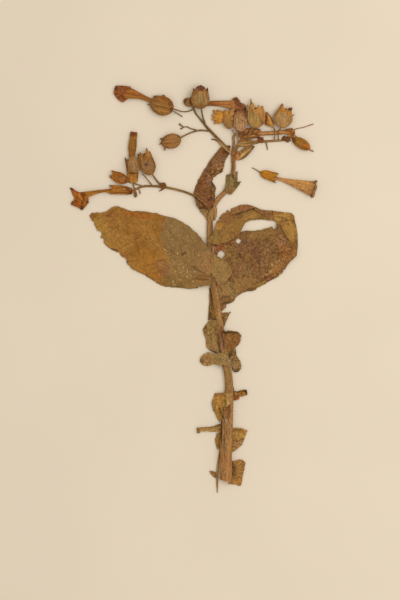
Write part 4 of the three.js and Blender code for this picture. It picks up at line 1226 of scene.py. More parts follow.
LEAVES = (
    Leaf(
        "left_leaf",
        Blade(
            (  # from the lobe that clasps the stem out to the tip
                ((28.6, 9.4, 1.5), (29.2, 11, 1.5), (29.8, 13, 1.5)),
                ((23.6, 4, 2.2), (22, 12, 2.3), (25.6, 20.3, 1.6)),
                ((19, 0.8, 3.2), (15.6, 12.4, 3.2), (17.6, 25, 3)),
                ((10.6, 1.4, 2.8), (8.4, 14.4, 2.6), (9, 33.8, 3)),
                ((-1.5, -0.7, 0.3), (-3, 20, 0.4), (3, 41.6, 1)),
                ((-14, 0.4), (-14, 26), (-9, 51)),
                ((-25, 2), (-25, 32), (-22, 55.4)),
                ((-35.4, 8.6), (-36, 38), (-36, 58.4)),
                ((-47.6, 15.4), (-47, 43), (-49, 59.6)),
                ((-56, 25.4), (-57, 47.6), (-59, 62.6)),
                ((-67.2, 32.6), (-66, 51.4), (-68.5, 58.2)),
                ((-74.2, 45.2), (-73, 54), (-74.5, 57.8)),
                ((-79, 54.4), (-79, 55.8), (-78.2, 57.4)),
            ),
            wrinkle=0.55, wrinkle_size=16, crinkle=0.05, fray=0.7, vein_pitch=9.5, vein_lean=0.9, vein_height=0.13,
            bites=(
                (-37.6, 8.4, 1.5, 1.4), (-53, 20.2, 2.1, 1.5), (-58, 25.4, 1.8, 1.2), (-62.8, 27, 2, 1.2),
                (-69.8, 36.4, 1.1, 2), (-72.4, 41.4, 2.1, 1.2), (-77, 49.4, 1.3, 1.2), (4.6, 0.2, 1, 1), (-24, 1, 1, 1),
                (-30, 4.2, 1.2, 0.8), (-44.4, 12.4, 1, 1.2),
                # the stem shows between the leaf and the lobe that clasps it
                (15.9, 2, 2.6, 1.2), (14.9, 6, 1.9, 1.4), (13.6, 9.6, 1.1, 1.6),
            ),
            creases=(
                Crease(-9, 25.4, -6, 27, 0.3, 0.5, -0.8), Crease(11.6, 6.4, 2.4, 7, 0.35, 0.45, -0.7),
                Crease(11.6, 8.8, -1.6, 17.2, 0.4, 0.45, -0.55), Crease(11, 8.2, 4, 10.4, 0.2, 0.45, -0.35),
                Crease(24.6, 13, 27.8, 11, 0.3, 0.7, -0.2), Crease(-62, 59, -67, 54, 0.3, 0.8, -0.3),
                Crease(-74, 55.6, -63, 55, 0.2, 0.5, -0.3), Crease(2, 5.4, 10, 4.6, 0.2, 0.4, 0.3),
                Crease(12, 14, 15, 24, 0.4, 0.9, 0.15), Crease(12.6, 14, 13.4, 26, -0.3, 0.6, -0.25),
                # thin side veins, and curled bits of the torn edge
                Crease(-57, 45, -30, 34.6, 0.15, 0.3, -0.3), Crease(-66, 47.4, -55, 43.6, 0.15, 0.3, -0.3),
                Crease(-44, 40, -54, 31.4, 0.15, 0.3, -0.3), Crease(-30, 34, -44, 22, 0.15, 0.3, -0.28),
                Crease(-21, 29, -33, 13, 0.15, 0.3, -0.25), Crease(-47, 43, -36, 56, 0.15, 0.3, -0.25),
                Crease(-62.6, 29.8, -57.8, 28.6, 0.4, 0.5, -0.8), Crease(-56.6, 26.4, -55.4, 23.6, 0.4, 0.5, -0.7),
                Crease(-50.8, 20.6, -50.2, 17, 0.4, 0.5, -0.8), Crease(-37, 11, -34, 8, 0.3, 0.5, -0.5),
                Crease(-13, 1.4, -6, 0.8, 0.3, 0.4, -0.4), Crease(-26, 4, -16, 2, 0.2, 0.4, -0.3),
            ),
            seed=3,
        ),
        LeafFinish(
            base=(162, 115, 55), cloud=(148, 101, 44), vein=(116, 76, 34), speck=(108, 72, 34),
            tints=(
                Tint(-34, 18, 16, 9, -40, (168, 114, 45), 0.7), Tint(-27, 8, 5, 3, -30, (168, 108, 46), 0.8),
                Tint(8.4, 40, 33.6, 30, 0, (142, 112, 68), 0.95, 0.3, 0.08),
                Tint(3, 14, 25, 22, 0, (145, 113, 69), 0.9, 0.4, 0.12), Tint(-12, 5, 16, 5, -4, (136, 106, 58), 0.8),
                Tint(-24, 16, 5, 8, 25, (140, 96, 66), 0.6), Tint(-14, 40, 7, 9, 20, (146, 116, 74), 0.6),
                Tint(22, 13, 12, 10, 0, (156, 122, 72), 0.9), Tint(9, 18, 6, 10, 0, (162, 121, 76), 0.7),
                Tint(6.6, 7.4, 5, 2.4, 0, (136, 88, 44), 0.5), Tint(10.6, 9.6, 2, 1, -30, (168, 104, 52), 0.7),
                Tint(-42, 56, 14, 3, -8, (158, 96, 40), 0.8), Tint(-63.4, 56.6, 4.6, 1.2, 50, (140, 86, 48), 0.7),
                Tint(-60, 55, 4, 1.8, 70, (156, 96, 52), 0.6), Tint(-71, 50, 6, 8, 0, (170, 128, 60), 0.8),
                Tint(-56, 34, 12, 8, 30, (172, 124, 60), 0.6), Tint(-64, 40, 7, 6, 30, (168, 126, 62), 0.6),
                Tint(-40, 44, 9, 3, -20, (168, 116, 52), 0.5), Tint(13.2, 20, 7, 0.6, 78, (176, 118, 66), 0.7),
                *(
                    Tint(x, y, length, 0.24, turn, (222, 198, 140), 0.9, 0.3)
                    for x, y, length, turn in (
                        (-12.2, 26.3, 0.8, 80), (-10.8, 18.2, 0.7, 20), (-9.8, 11.9, 1, 10), (-5, 8.6, 1.7, -50),
                        (-4.6, 12.9, 1.6, 80), (-10.3, 6.2, 0.8, 0), (-0.3, 5.2, 0.9, 20), (-15.6, 4.8, 1.4, 88),
                        (-14.6, 2.4, 1.5, -12), (0.7, 12.4, 0.7, 50), (4, 24.9, 1.2, 75), (-21.8, 29.4, 3, -35),
                        (-7.6, 15.6, 0.6, 0), (-13.6, 12.6, 0.7, 60), (-2, 9.4, 0.6, 0), (-27.4, 33, 2.4, -35),
                    )
                ),
            ),
            cloud_size=18, specks=0.2, pale_specks=0.15, veins=0.5, cells=2.2, mottle=2.2, bump=0.35,
        ),
        Slot.GREEN_LEAF,
    ),
    Leaf(
        "right_leaf_blade",
        Blade(
            (
                ((20.4, -13.4), (17.4, 4), (15.4, 33.4)), ((25, -12.4), (24, 10), (22, 36)),
                ((30, -10.8), (31, 13), (29, 39.4)), ((33, -7), (37, 17), (34, 42.4)),
                ((38.4, -3.6), (44, 20), (39.5, 43.8)), ((46, -1.8), (51, 23), (48, 44)),
                ((53, 2), (59, 26, 0.4), (57, 46, 0.6)), ((60, 6.2), (67, 28, 1), (63.8, 49, 1.5)),
                ((67, 10.4, 0.2), (72, 29, 1.5), (68, 44.4, 1.5)), ((73, 19, 0.6), (75.6, 28, 1.5), (73, 36.6, 1.5)),
                ((78.9, 24.4, 1.2), (79.2, 26.4, 1.5), (79.2, 29, 1.5)),
            ),
            wrinkle=0.5, wrinkle_size=8, crinkle=0.22, fray=0.6, vein_pitch=8, vein_lean=0.5, vein_height=0.12,
            bites=(
                (34.6, 35.9, 1.9, 0.9), (21.4, 25.4, 2.7, 1.1), (62, 47.4, 1.5, 1.6), (43, 45, 0.9, 0.8),
                (49.6, -0.8, 1.3, 1), (56.6, 3.4, 1.1, 1), (69.6, 13, 1.1, 1), (44.6, -3.4, 1, 0.8), (66.4, 9.8, 0.9, 1),
                (53.4, 1.4, 0.7, 1.4), (60.4, 5.4, 0.8, 0.8), (40.4, -4.6, 0.8, 1.2), (73, 17.4, 0.8, 1),
            ),
            creases=(
                Crease(51, 27, 60, 33.4, 0.4, 0.6, -0.4), Crease(51, 26, 60, 32, 0.3, 0.6, 0.3),
                Crease(24, -9, 27, -6.4, 0.4, 0.7, -0.5), Crease(20, -9.6, 22.4, -6, 0.5, 0.7, -0.5),
                Crease(28, -9, 27, -11, 0.4, 0.7, -0.6), Crease(21.4, -11.4, 25.6, -12, 0.4, 0.7, -0.6),
                Crease(22.6, -9, 25.6, -9.4, 0.5, 0.8, 0.3), Crease(30.4, 4.6, 25.6, 19, 0.3, 0.9, -0.4),
                Crease(39, 30, 52, 33, 0.3, 1.2, 0.3), Crease(67, 46, 77, 29.6, 0.3, 0.5, -0.4),
                # first, a groove holding the painted shadow that the folded band casts on the blade
                Crease(17, 33.6, 30, 37, -0.2, 0.7, -0.7), Crease(44, 24, 49, 30, 0.3, 1, -0.25),
                Crease(40, 22, 44, 30, 0.3, 1, 0.2), Crease(52, 16, 60, 22, 0.3, 1, -0.25), Crease(62, 42, 68, 36, 0.3, 0.8, -0.4),
            ),
            seed=8,
        ),
        LeafFinish(
            base=(142, 104, 60), cloud=(126, 88, 50), vein=(104, 70, 40), speck=(92, 60, 34),
            tints=(
                Tint(24, -3, 12, 9, 20, (166, 128, 78)), Tint(38, 5, 12, 7, 20, (152, 112, 64)),
                Tint(30, -1, 5, 6, 0, (150, 122, 72), 0.6), Tint(42, 33, 12, 6, 0, (124, 88, 60), 0.7),
                Tint(48, 27, 7, 6, 0, (118, 78, 54), 0.8), Tint(63, 14, 9, 4.4, 48, (158, 108, 56), 0.8),
                Tint(70, 26, 5, 8, 10, (150, 98, 50), 0.8), Tint(67, 36, 4, 5, 0, (162, 116, 76), 0.8),
                Tint(57, 7, 7, 3, 30, (116, 68, 42), 0.8), Tint(52, 3, 5, 1.6, 28, (156, 128, 60), 0.7),
                Tint(74.4, 35, 7, 0.7, -60, (192, 112, 46), 0.8), Tint(24.7, -8.8, 4.4, 3.2, 0, (108, 74, 44), 0.7),
                Tint(24.4, -8.4, 1.6, 1.2, 0, (146, 108, 70), 0.6), Tint(62, 44, 4, 2, 40, (120, 84, 50), 0.7),
                Tint(53, 41, 12, 4, 10, (150, 114, 62), 0.7), Tint(17.4, 29, 3, 5, 0, (176, 110, 72), 0.8),
                Tint(21, 31, 4, 1.6, 40, (140, 66, 40), 0.7), Tint(56, 30, 6, 4, 30, (140, 106, 72), 0.6),
                Tint(27, 24, 7, 9, 60, (138, 104, 58), 0.7), Tint(34, 14, 6, 8, 0, (134, 94, 56), 0.6),
                Tint(77, 27.4, 1.6, 3, -20, (172, 112, 50), 0.8),
            ),
            spotted=(
                Tint(61.6, 14.6, 11, 5, 48, (216, 176, 124), 0.8), Tint(50, 17, 9, 6, 20, (190, 150, 108), 0.5),
                Tint(70, 28, 4, 8, 10, (206, 154, 104), 0.5), Tint(38, 14, 8, 5, 0, (176, 150, 120), 0.4),
                Tint(56, 2.6, 9, 2.4, 30, (196, 168, 84), 0.6),
            ),
            cloud_size=8, specks=0.7, pale_specks=0.25, veins=0.4, cells=2.8, mottle=4.8, bump=0.5,
        ),
        Slot.BROWN_LEAF,
    ),
    Leaf(
        "right_leaf_fold",
        Blade(
            (
                ((10.4, 35.2, 3), (11, 38.2, 3)), ((17.4, 33, 2.6), (15.2, 42, 2.6)),
                ((24, 34.6, 1.5), (18.2, 51, 0.6)), ((30, 37.2, 1.5), (23.6, 58, 0.2)),
                ((36, 43, 1.5), (30, 61.4)), ((40.6, 50.4, 0.6), (41, 64)), ((49, 52.1), (52, 60.2)),
                ((57, 51.8), (62, 59)), ((62.4, 50.6), (69, 58)), ((64.6, 48), (75.8, 56.8)),
                ((67.6, 42.4), (78.4, 48.5)), ((71.4, 36.4), (79.8, 39)), ((75.4, 31), (79.9, 33)),
                ((77.6, 27.4), (79.4, 28.2)),
            ),
            wrinkle=0.45, wrinkle_size=9, crinkle=0.1, fray=0.5, vein_pitch=11, vein_lean=0.4,
            bites=((27.9, 60.6, 1, 2.4), (24.4, 58.4, 0.9, 1.2), (71, 58.6, 1, 0.7), (19.6, 52.4, 0.8, 1)),
            creases=(
                Crease(29.5, 55.5, 46.2, 60.6, 0.4, 0.6, -0.7), Crease(46.2, 60.6, 41, 63.4, 0.4, 0.6, -0.3),
                Crease(46, 60, 58, 52.6, 0.4, 0.6, -0.5), Crease(61.6, 50.8, 60.4, 58.6, 0.5, 0.6, -0.6),
                Crease(64, 54.6, 77, 50.6, 0.4, 0.6, -0.5), Crease(16, 36, 34, 42, 0.3, 1, 0.2),
                Crease(17, 50, 27, 50.6, 0.4, 0.6, -0.4), Crease(34, 52, 50, 56, 0.3, 0.9, 0.25),
                Crease(66, 49, 69, 42, 0.3, 0.7, -0.4), Crease(26, 41, 38, 50, 0.2, 1.2, 0.15),
            ),
            seed=13,
        ),
        LeafFinish(
            base=(153, 114, 62), cloud=(137, 100, 51), vein=(112, 78, 42), speck=(94, 64, 34),
            tints=(
                Tint(34, 53, 9, 3, 30, (132, 96, 52), 0.6), Tint(37, 57.6, 7, 1.4, 25, (116, 76, 44), 0.7),
                Tint(19, 47.6, 4.6, 3, 0, (180, 128, 58), 0.9), Tint(16, 39, 6, 3.6, 20, (142, 112, 62), 0.7), Tint(27, 55, 8, 5, 45, (140, 94, 54), 0.8),
                Tint(39, 61.4, 7, 2.6, 0, (148, 97, 63), 0.9), Tint(55, 57, 8, 2.6, -20, (140, 96, 58), 0.9),
                Tint(46, 56, 5, 3, 0, (160, 118, 62), 0.8), Tint(68, 55, 8, 4, 0, (188, 142, 74), 0.8),
                Tint(61.6, 58, 2.4, 1.4, -30, (188, 112, 50), 0.8), Tint(74, 44, 5, 10, 10, (173, 128, 64), 0.95),
                Tint(76, 54, 2, 4, 10, (146, 96, 46), 0.7), Tint(33, 47, 4, 6, -30, (146, 108, 50), 0.6),
                Tint(78.6, 35, 1.6, 7, 0, (132, 100, 50), 0.6), Tint(66, 57, 5, 1.2, -8, (150, 98, 50), 0.6),
            ),
            cloud_size=9, specks=0.5, pale_specks=0.15, veins=0.3, cells=2.4, mottle=3.6,
        ),
        Slot.GREEN_LEAF,
    ),
    Leaf(
        "upper_leaf",
        Blade(
            (
                ((14.4, 61, 2.4), (10, 60, 2.4), (4.4, 59.2, 0.6)), ((15.8, 66.6, 1.6), (9, 67.6, 1.8), (0.6, 68.6, 2)),
                ((16.9, 76), (8.8, 76), (1, 75.6)), ((14.8, 83.4), (10.8, 85), (4.8, 85)),
                ((22.2, 89.4), (15.5, 94), (10.2, 94)), ((24, 96.6), (20.4, 101), (16, 101.8)),
                ((27, 102.6), (25, 106), (20.8, 107.6)), ((28.4, 108), (28, 108.8), (25.4, 109)),
            ),
            wrinkle=0.55, wrinkle_size=4.5, crinkle=0.3, fray=0.7, fray_size=2, vein_pitch=5, vein_lean=0.6,
            bites=((16.8, 83.4, 1.3, 1.5), (7, 89.6, 0.8, 0.8)),
            creases=(
                # first, the ridge where the bough lies under the leaf, with a painted highlight along it and painted
                # shade in the groove below
                Crease(-0.4, 72.4, 9, 64, 0.9, 0.8, 0.25), Crease(-0.4, 70.8, 9, 62.4, -0.2, 0.6, -0.5),
                Crease(13.6, 72, 13, 81, 0.5, 0.7, -0.45), Crease(11, 62, 12, 84, 0.4, 1.4, 0.2),
                # the ruffled curl, with painted highlights on its ridges
                Crease(18, 92, 22.4, 90, 0.5, 0.7, 0.4), Crease(17.6, 89.6, 20.6, 88, 0.4, 0.6, 0.3),
                Crease(17, 96, 22, 96.4, 0.3, 0.8, -0.3), Crease(8, 92.6, 13, 88, 0.3, 0.8, -0.35),
                Crease(16, 88, 21, 91, 0.5, 0.8, -0.45), Crease(5, 61, 15, 61.6, 0.4, 0.6, -0.35),
            ),
            edge_shade=-0.4,
            seed=21,
        ),
        LeafFinish(
            base=(142, 96, 54), cloud=(126, 84, 46), vein=(98, 64, 38), speck=(78, 50, 28),
            tints=(
                Tint(11.4, 84, 9, 1.8, 104, (148, 106, 84), 0.8), Tint(11.4, 66.4, 3, 4, 0, (118, 70, 56), 0.8),
                Tint(6.6, 81, 8, 2.6, 70, (134, 84, 48), 0.8), Tint(14.6, 77, 6, 1.4, 90, (122, 94, 50), 0.8),
                Tint(20, 97, 7, 5, 50, (148, 108, 72), 0.8), Tint(7.4, 88, 4, 2, 60, (146, 96, 50), 0.8),
                Tint(5, 65, 5, 4, 0, (136, 98, 54), 0.8), Tint(20, 89, 4, 3, 30, (112, 84, 42), 0.7),
                # painted highlights on the ruffled curl
                Tint(20.4, 91.4, 3, 0.6, 25, (190, 142, 78), 0.7), Tint(18.6, 89, 2.4, 0.5, 35, (180, 130, 70), 0.7),
                Tint(10, 59.4, 7, 1.3, 0, (166, 130, 82), 0.9), Tint(24, 103, 4, 3, 50, (120, 84, 46), 0.7),
                # a painted highlight along the ridge over the bough under the leaf, and a painted shadow below it
                Tint(4.6, 68, 7, 0.6, -38, (174, 130, 78), 0.7), Tint(4, 66.8, 7, 0.6, -38, (86, 56, 30), 0.7),
            ),
            spotted=(
                Tint(13, 82, 22, 5, 68, (176, 132, 104), 0.45), Tint(20, 95, 9, 5, 50, (184, 142, 108), 0.45),
            ),
            cloud_size=5, specks=0.85, pale_specks=0.25, veins=0.4, cells=1.9, mottle=5.4, bump=0.7,
        ),
        Slot.BROWN_LEAF,
    ),
    Leaf(
        "stem_bract",
        Blade(
            (
                ((25, 86.4, 0), (28, 86.6, 2.4), (31, 86.6, 2.4)), ((24.6, 80.4, 0), (28, 81, 2.4), (31.6, 80, 1.4)),
                ((24, 75.8, 2.4), (27.4, 76, 2.4), (36.2, 81.6, 0)), ((25, 73.2, 2.2), (28, 74, 1), (33.2, 76.4, 0)),
                ((27.6, 71.2, 0), (29, 72, 0), (30, 72.8, 0)),
            ),
            cell=0.35, wrinkle=0.3, wrinkle_size=4, fray=0.5, vein_pitch=4,
            creases=(Crease(29.6, 88, 30.4, 84, 0.3, 0.6, -0.8), Crease(31, 78, 36, 81.4, 0.3, 0.7, -0.5)),
            seed=24,
        ),
        LeafFinish.of((148, 120, 72), Tint(29, 74, 5, 3, 0, (146, 106, 58)), Tint(34, 79, 3, 3, 0, (120, 92, 48)), mottle=2.6),
        Slot.GREEN_LEAF,
        more=(Blade((((30.4, 80.6), (34, 79.6)), ((32, 85), (33.8, 85.4)), ((32.6, 89), (34, 89.4))), cell=0.35, seed=25),),
    ),
    Leaf(
        "pod_bract",
        Blade(
            (
                ((34.4, 97.4, 0), (33.4, 98.4, 0), (32.6, 99.8, 0)), ((38.6, 99, 0.8), (36.8, 101.4, 0), (34.8, 103.8, 0.8)),
                ((43.4, 103.2, 0.8), (41, 104.8, 0), (38.6, 107.2, 0.8)), ((47, 108, 0.2), (46.2, 108.8, 0), (45.2, 109.2, 0.2)),
            ),
            cell=0.35, wrinkle=0.2, wrinkle_size=3, fray=0.3, vein_pitch=3, lift=0.6,
            creases=(
                Crease(34, 98.6, 46, 108.6, -0.2, 1.2, 0.6), Crease(36.6, 97.8, 46.6, 107.6, 0.7, 0.7, -0.6),
                Crease(33.8, 101.6, 45.4, 109, 0.7, 0.7, -0.6), Crease(45, 107.4, 47, 108.6, 0.5, 1, -0.9),
            ),
            seed=27,
        ),
        LeafFinish.of(
            (190, 146, 90), Tint(34, 100.4, 3, 2.4, 60, (150, 88, 44)), Tint(42.4, 101.8, 6, 0.8, 44, (150, 104, 48)),
            Tint(40, 107, 7, 0.8, 40, (136, 96, 46)), Tint(41, 104.4, 6, 0.6, 42, (156, 108, 62)), mottle=2.6,
        ),
    ),
)


@dataclass
class Scrap:
    """The remains of a lower leaf: its ribs and colour, with what sets it apart from the others."""

    node: str
    ribs: tuple
    colour: Colour
    tints: tuple[Tint, ...] = ()
    creases: tuple[Crease, ...] = ()
    shape: dict[str, Any] = field(default_factory=dict)

    def build(self) -> None:
        """Makes the scrap."""
        seed = sum(map(ord, self.node)) % 97
        shape = {"wrinkle": 0.6, "wrinkle_size": 3.6, "crinkle": 0.2, "fray": 0.6, "fray_size": 1.8, "cell": 0.4}
        shape |= {"vein_pitch": 4, "edge_shade": -0.35, "creases": self.creases, "seed": seed}
        blade = Blade(self.ribs, **{**shape, **self.shape})
        look = {"specks": 0.35, "pale_specks": 0.25, "cloud_size": 4, "mottle": 3.5, "cells": 1.6, "bump": 0.6}
        finish = LeafFinish.of(toned(self.colour, 1.1), *self.tints, **look)
        Leaf(self.node, blade, finish).build()


SCRAPS = (
    Scrap(
        "wing_scrap", (((12.2, 0), (14, 0)), ((12, -10), (15.6, -10)), ((11, -24.5), (17.8, -24.4))), (148, 108, 56),
        (Tint(12, -21, 2, 4, 0, (104, 72, 36)), Tint(14, -8, 1, 8, 8, (116, 80, 40))),
        (Crease(13, -1, 14.6, -23, 0.3, 0.5, -0.6), Crease(12.4, -14, 12.8, -23, 0.3, 0.5, -0.5)),
    ),
    Scrap("small_flap", (((20.4, -12.4), (25.2, -12)), ((20.4, -15), (24.8, -14.4)), ((20.6, -17.9), (23.4, -16.4))), (160, 114, 74)),
    Scrap(
        "thorn_scrap", (((20.4, -19.2), (28.6, -18.4)), ((21, -24.4), (26, -24.2)), ((21.4, -31.4), (22.8, -31))),
        (140, 104, 58), (Tint(22, -26, 1.2, 5, 0, (88, 56, 30)),),
    ),
    Scrap(
        "clasp_scrap",
        (
            ((12, -24.5, 0), (19.4, -24.4, 3.2)), ((7.4, -32, 0), (19.8, -32, 3.3)), ((9.4, -39, 0), (19.6, -38, 3.3)),
            ((10.2, -45.4, 0), (19.8, -45, 3.4)), ((14.6, -49.2, 0), (19, -49.6, 1.4)),
        ),
        (156, 122, 72),
        (Tint(14, -45, 5, 3, 0, (172, 128, 82)), Tint(18, -34, 1.4, 10, 4, (128, 88, 52), 0.8), Tint(9, -31.6, 2, 4, 0, (124, 86, 46))),
        (
            Crease(18.6, -36, 19.4, -48, -0.3, 0.6, -0.7), Crease(14, -26, 13, -40, 0.4, 0.6, -0.3),
            Crease(9, -32, 17, -27, 0.3, 0.8, 0.3), Crease(13, -47.4, 18, -49.4, 0.4, 0.6, -0.8),
            Crease(16, -26, 17, -36, 0.3, 0.5, -0.3), Crease(11, -33, 12, -44, 0.3, 0.5, 0.3),
        ),
        {"wrinkle": 0.4, "wrinkle_size": 6, "crinkle": 0.12},
    ),
    Scrap(
        "round_scrap",
        (
            ((25.6, -59, 3.6), (25.4, -50, 3.6)), ((21.4, -59.6, 3.6), (20, -49.4, 3.6)),
            ((15.4, -58.4, 0.4), (15, -50.4, 0.8)), ((9.4, -60, 0), (11.4, -48.8, 0)), ((5, -57, 0), (5.8, -52.4, 0)),
        ),
        (168, 132, 82),
        (Tint(9.4, -55, 5, 4, 0, (156, 114, 68)), Tint(22, -54, 6, 4, 0, (156, 128, 78)), Tint(6, -56.6, 2, 3, 0, (124, 84, 46))),
        shape={"wrinkle": 0.5, "crinkle": 0.25, "bites": ((16.6, -50.2, 0.8, 0.9),)},
    ),
    Scrap(
        "fan_scrap",
        (
            ((21.8, -33, 3.4), (23.8, -46, 3.6)), ((27, -32.8, 0.4), (27.6, -46.8, 0.4)),
            ((31.4, -33.2, 0), (31, -46.6, 0)), ((34.6, -33.8, 0), (33.4, -44.4, 0)), ((36.4, -35.6, 0), (35.8, -42, 0)),
        ),
        (150, 104, 54),
        (Tint(30, -34, 8, 1.2, 0, (104, 68, 34)), Tint(31, -40, 4, 3, 0, (152, 106, 60)), Tint(23.4, -40, 1.4, 7, 0, (134, 96, 66))),
        (
            *(
                Crease(23, -33.4, 23 + 13 * math.cos(turn), -33.4 - 13 * math.sin(turn), 0.4, 0.4, -0.45)
                for turn in (math.radians(degrees) for degrees in (14, 26, 38, 50, 62, 74))
            ),
            Crease(24, -33.2, 36, -35, 0.4, 0.5, -0.5), Crease(26, -38, 33, -40.6, 0.4, 0.5, 0.4),
        ),
        {"bites": ((36.8, -38.8, 0.9, 1.2), (33.8, -45.4, 0.8, 0.8)), "fray": 0.8},
    ),
    Scrap(
        "curled_scrap",
        (
            ((25.6, -46.6, 1), (32.6, -46.4, 1.4)), ((26.6, -51.4, 0.2), (32.8, -51, 0.6)), ((27.8, -54.6, 0), (34.2, -53.6, 0)),
            ((28.6, -57.6, 0), (36.2, -56.6, 0)), ((29.6, -62, 0), (36, -62, 0)), ((31.6, -64.4, 0), (34, -64.2, 0)),
        ),
        (150, 114, 68),
        (
            Tint(30.4, -49.6, 2.6, 2.4, 20, (100, 72, 42)), Tint(27.6, -52, 1, 6, -15, (92, 62, 34)),
            Tint(33, -59.6, 2.4, 2.6, 0, (162, 124, 82)), Tint(32.6, -64, 3, 0.8, 0, (84, 56, 30)),
        ),
        (
            Crease(30, -55.4, 34.6, -56, 0.5, 0.5, -0.5), Crease(35.4, -57.6, 35, -62, 0.5, 0.5, -0.5),
            Crease(30, -61.6, 34, -63.2, 0.5, 0.5, -0.6), Crease(31, -57, 31.6, -62, 0.4, 0.6, 0.4),
        ),
        {"wrinkle": 0.8, "wrinkle_size": 2.6, "crinkle": 0.3},
    ),
    Scrap(
        "hook_scrap",
        (((30, -85.6), (30.6, -76)), ((33, -86), (33, -79)), ((37.6, -83.4), (37, -78)), ((41.4, -82), (40.6, -78))),
        (172, 122, 62),
        (Tint(38, -80, 3, 1.6, 20, (196, 134, 62)), Tint(40.6, -79, 1.4, 3, 0, (96, 60, 30)), Tint(33.6, -84, 2, 2, 0, (168, 86, 40))),
        (
            Crease(31, -77, 31.6, -85, 0.8, 0.7, -0.6), Crease(33.4, -79.6, 40, -78.8, 0.6, 0.6, -0.7),
            Crease(33, -83, 36.6, -81, -0.2, 0.8, -0.5), Crease(39.4, -78.6, 41, -81.6, 0.6, 0.6, -0.8),
        ),
        {"bites": ((36.8, -84.4, 1.8, 0.8), (31.8, -77.6, 0.9, 1.6)), "wrinkle": 0.9, "wrinkle_size": 2.4},
    ),
    Scrap(
        "broad_scrap",
        (
            ((16.4, -80.4, 0), (22, -80.2, 1.6), (30, -79.8, 4.6)), ((14, -87.6, 0), (21, -87, 2), (28.6, -87, 4.8)),
            ((15.4, -94, 0), (19.2, -91.6, 1.4), (25.6, -91, 4.9)), ((19.8, -102.8, 0), (21.4, -99.6, 0.6), (22.8, -96, 2.6)),
        ),
        (186, 136, 68),
        (
            Tint(27.6, -83, 6, 2.6, 95, (188, 142, 98)), Tint(20.6, -81.4, 6, 1.6, 0, (160, 110, 52)),
            Tint(23.6, -88, 2, 3, 0, (134, 106, 50)), Tint(15.6, -90, 1.6, 6, 10, (140, 106, 54)), Tint(27, -89, 1.4, 3, 0, (206, 166, 126)),
            Tint(24, -84, 0.8, 5, 0, (148, 120, 58), 0.7),
        ),
        (
            Crease(18, -85, 22, -98, 0.4, 0.5, -0.35), Crease(18.4, -84, 18, -92, 0.5, 0.8, 0.35),
            Crease(24.4, -80.6, 25, -90, 0.4, 0.6, -0.35), Crease(20, -92, 24.6, -91, 0.4, 0.5, -0.7),
            Crease(20, -92.4, 21, -97, 0.4, 0.5, -0.5),
        ),
        {"bites": ((25.8, -91.8, 1.1, 1.2), (23, -93, 0.8, 1)), "cell": 0.45},
    ),
    Scrap(
        "arm_scrap",
        (((21.4, -110.4), (21, -103.6)), ((14.4, -110.2), (14.6, -105.8)), ((9, -109.6), (8.6, -106.4)), ((2.8, -111.4), (2.4, -107))),
        (176, 134, 78),
        (Tint(20, -106, 3, 3, 0, (152, 118, 60)), Tint(3.4, -109.6, 1.6, 2, 0, (140, 100, 54))),
        (Crease(3, -107.6, 20, -105, 0.5, 0.5, -0.4), Crease(5, -110, 18, -108, 0.4, 0.8, 0.3)),
        {"wrinkle": 0.8, "wrinkle_size": 3},
    ),
    Scrap("sheath_scrap", (((18, -111), (21.4, -111)), ((16.8, -117.4), (21, -117)), ((18.2, -123.4), (21, -122.6))), (162, 116, 58)),
    Scrap(
        "wedge_scrap",
        (((29, -107.2), (28.4, -126.6)), ((33.4, -107), (32.2, -124.4)), ((37.6, -107.3), (37.2, -119.6)), ((41.4, -109), (39.8, -113))),
        (176, 130, 70),
        (Tint(34, -119, 4, 2, 30, (188, 140, 90)), Tint(33.6, -109, 5, 1.2, 0, (140, 106, 52)), Tint(39.6, -109.6, 2, 2, 0, (180, 120, 56))),
        (
            Crease(30.4, -116.6, 33.4, -117.4, 0.5, 0.45, -0.6), Crease(33.4, -117.4, 38.6, -115.2, 0.5, 0.45, -0.6),
            Crease(36.4, -120, 38.2, -119.6, 0.5, 0.6, -0.9), Crease(33, -107, 32, -114, 0.4, 0.5, -0.3),
            Crease(37, -108, 36, -114, 0.4, 0.6, 0.3), Crease(30.6, -118.4, 34, -122, 0.4, 0.5, -0.4),
        ),
        {"bites": ((39.4, -117, 1.1, 0.9),)},
    ),
    Scrap(
        "foot_scrap",
        (((28.4, -133.2), (27, -150.2)), ((32, -132), (31, -150.4)), ((36.8, -131.4), (35.8, -151.6)), ((40, -133.6), (37.6, -144))),
        (172, 124, 66),
        (Tint(35.8, -147.8, 2.6, 1.6, -10, (202, 128, 56), 0.7), Tint(30, -136, 2, 6, 20, (120, 82, 42)), Tint(29, -146, 3, 4, 0, (164, 122, 72))),
        tuple(
            Crease(29, -142.6, 29 + reach * math.cos(turn), -142.6 + reach * math.sin(turn), 0.4, 0.4, -0.5)
            for turn, reach in ((1.35, 9), (1.1, 11), (0.86, 12), (0.6, 11), (0.36, 10), (0.1, 10), (-0.3, 8), (-0.7, 9))
        ),
        {"cell": 0.4, "wrinkle": 0.5},
    ),
    Scrap("heel_scrap", (((17.4, -140.8), (17.4, -145.8)), ((12.6, -139.8), (13.4, -142.8))), (158, 114, 62)),
)


# ---- Fruits, buds and flowers ------------------------------------------------------------------


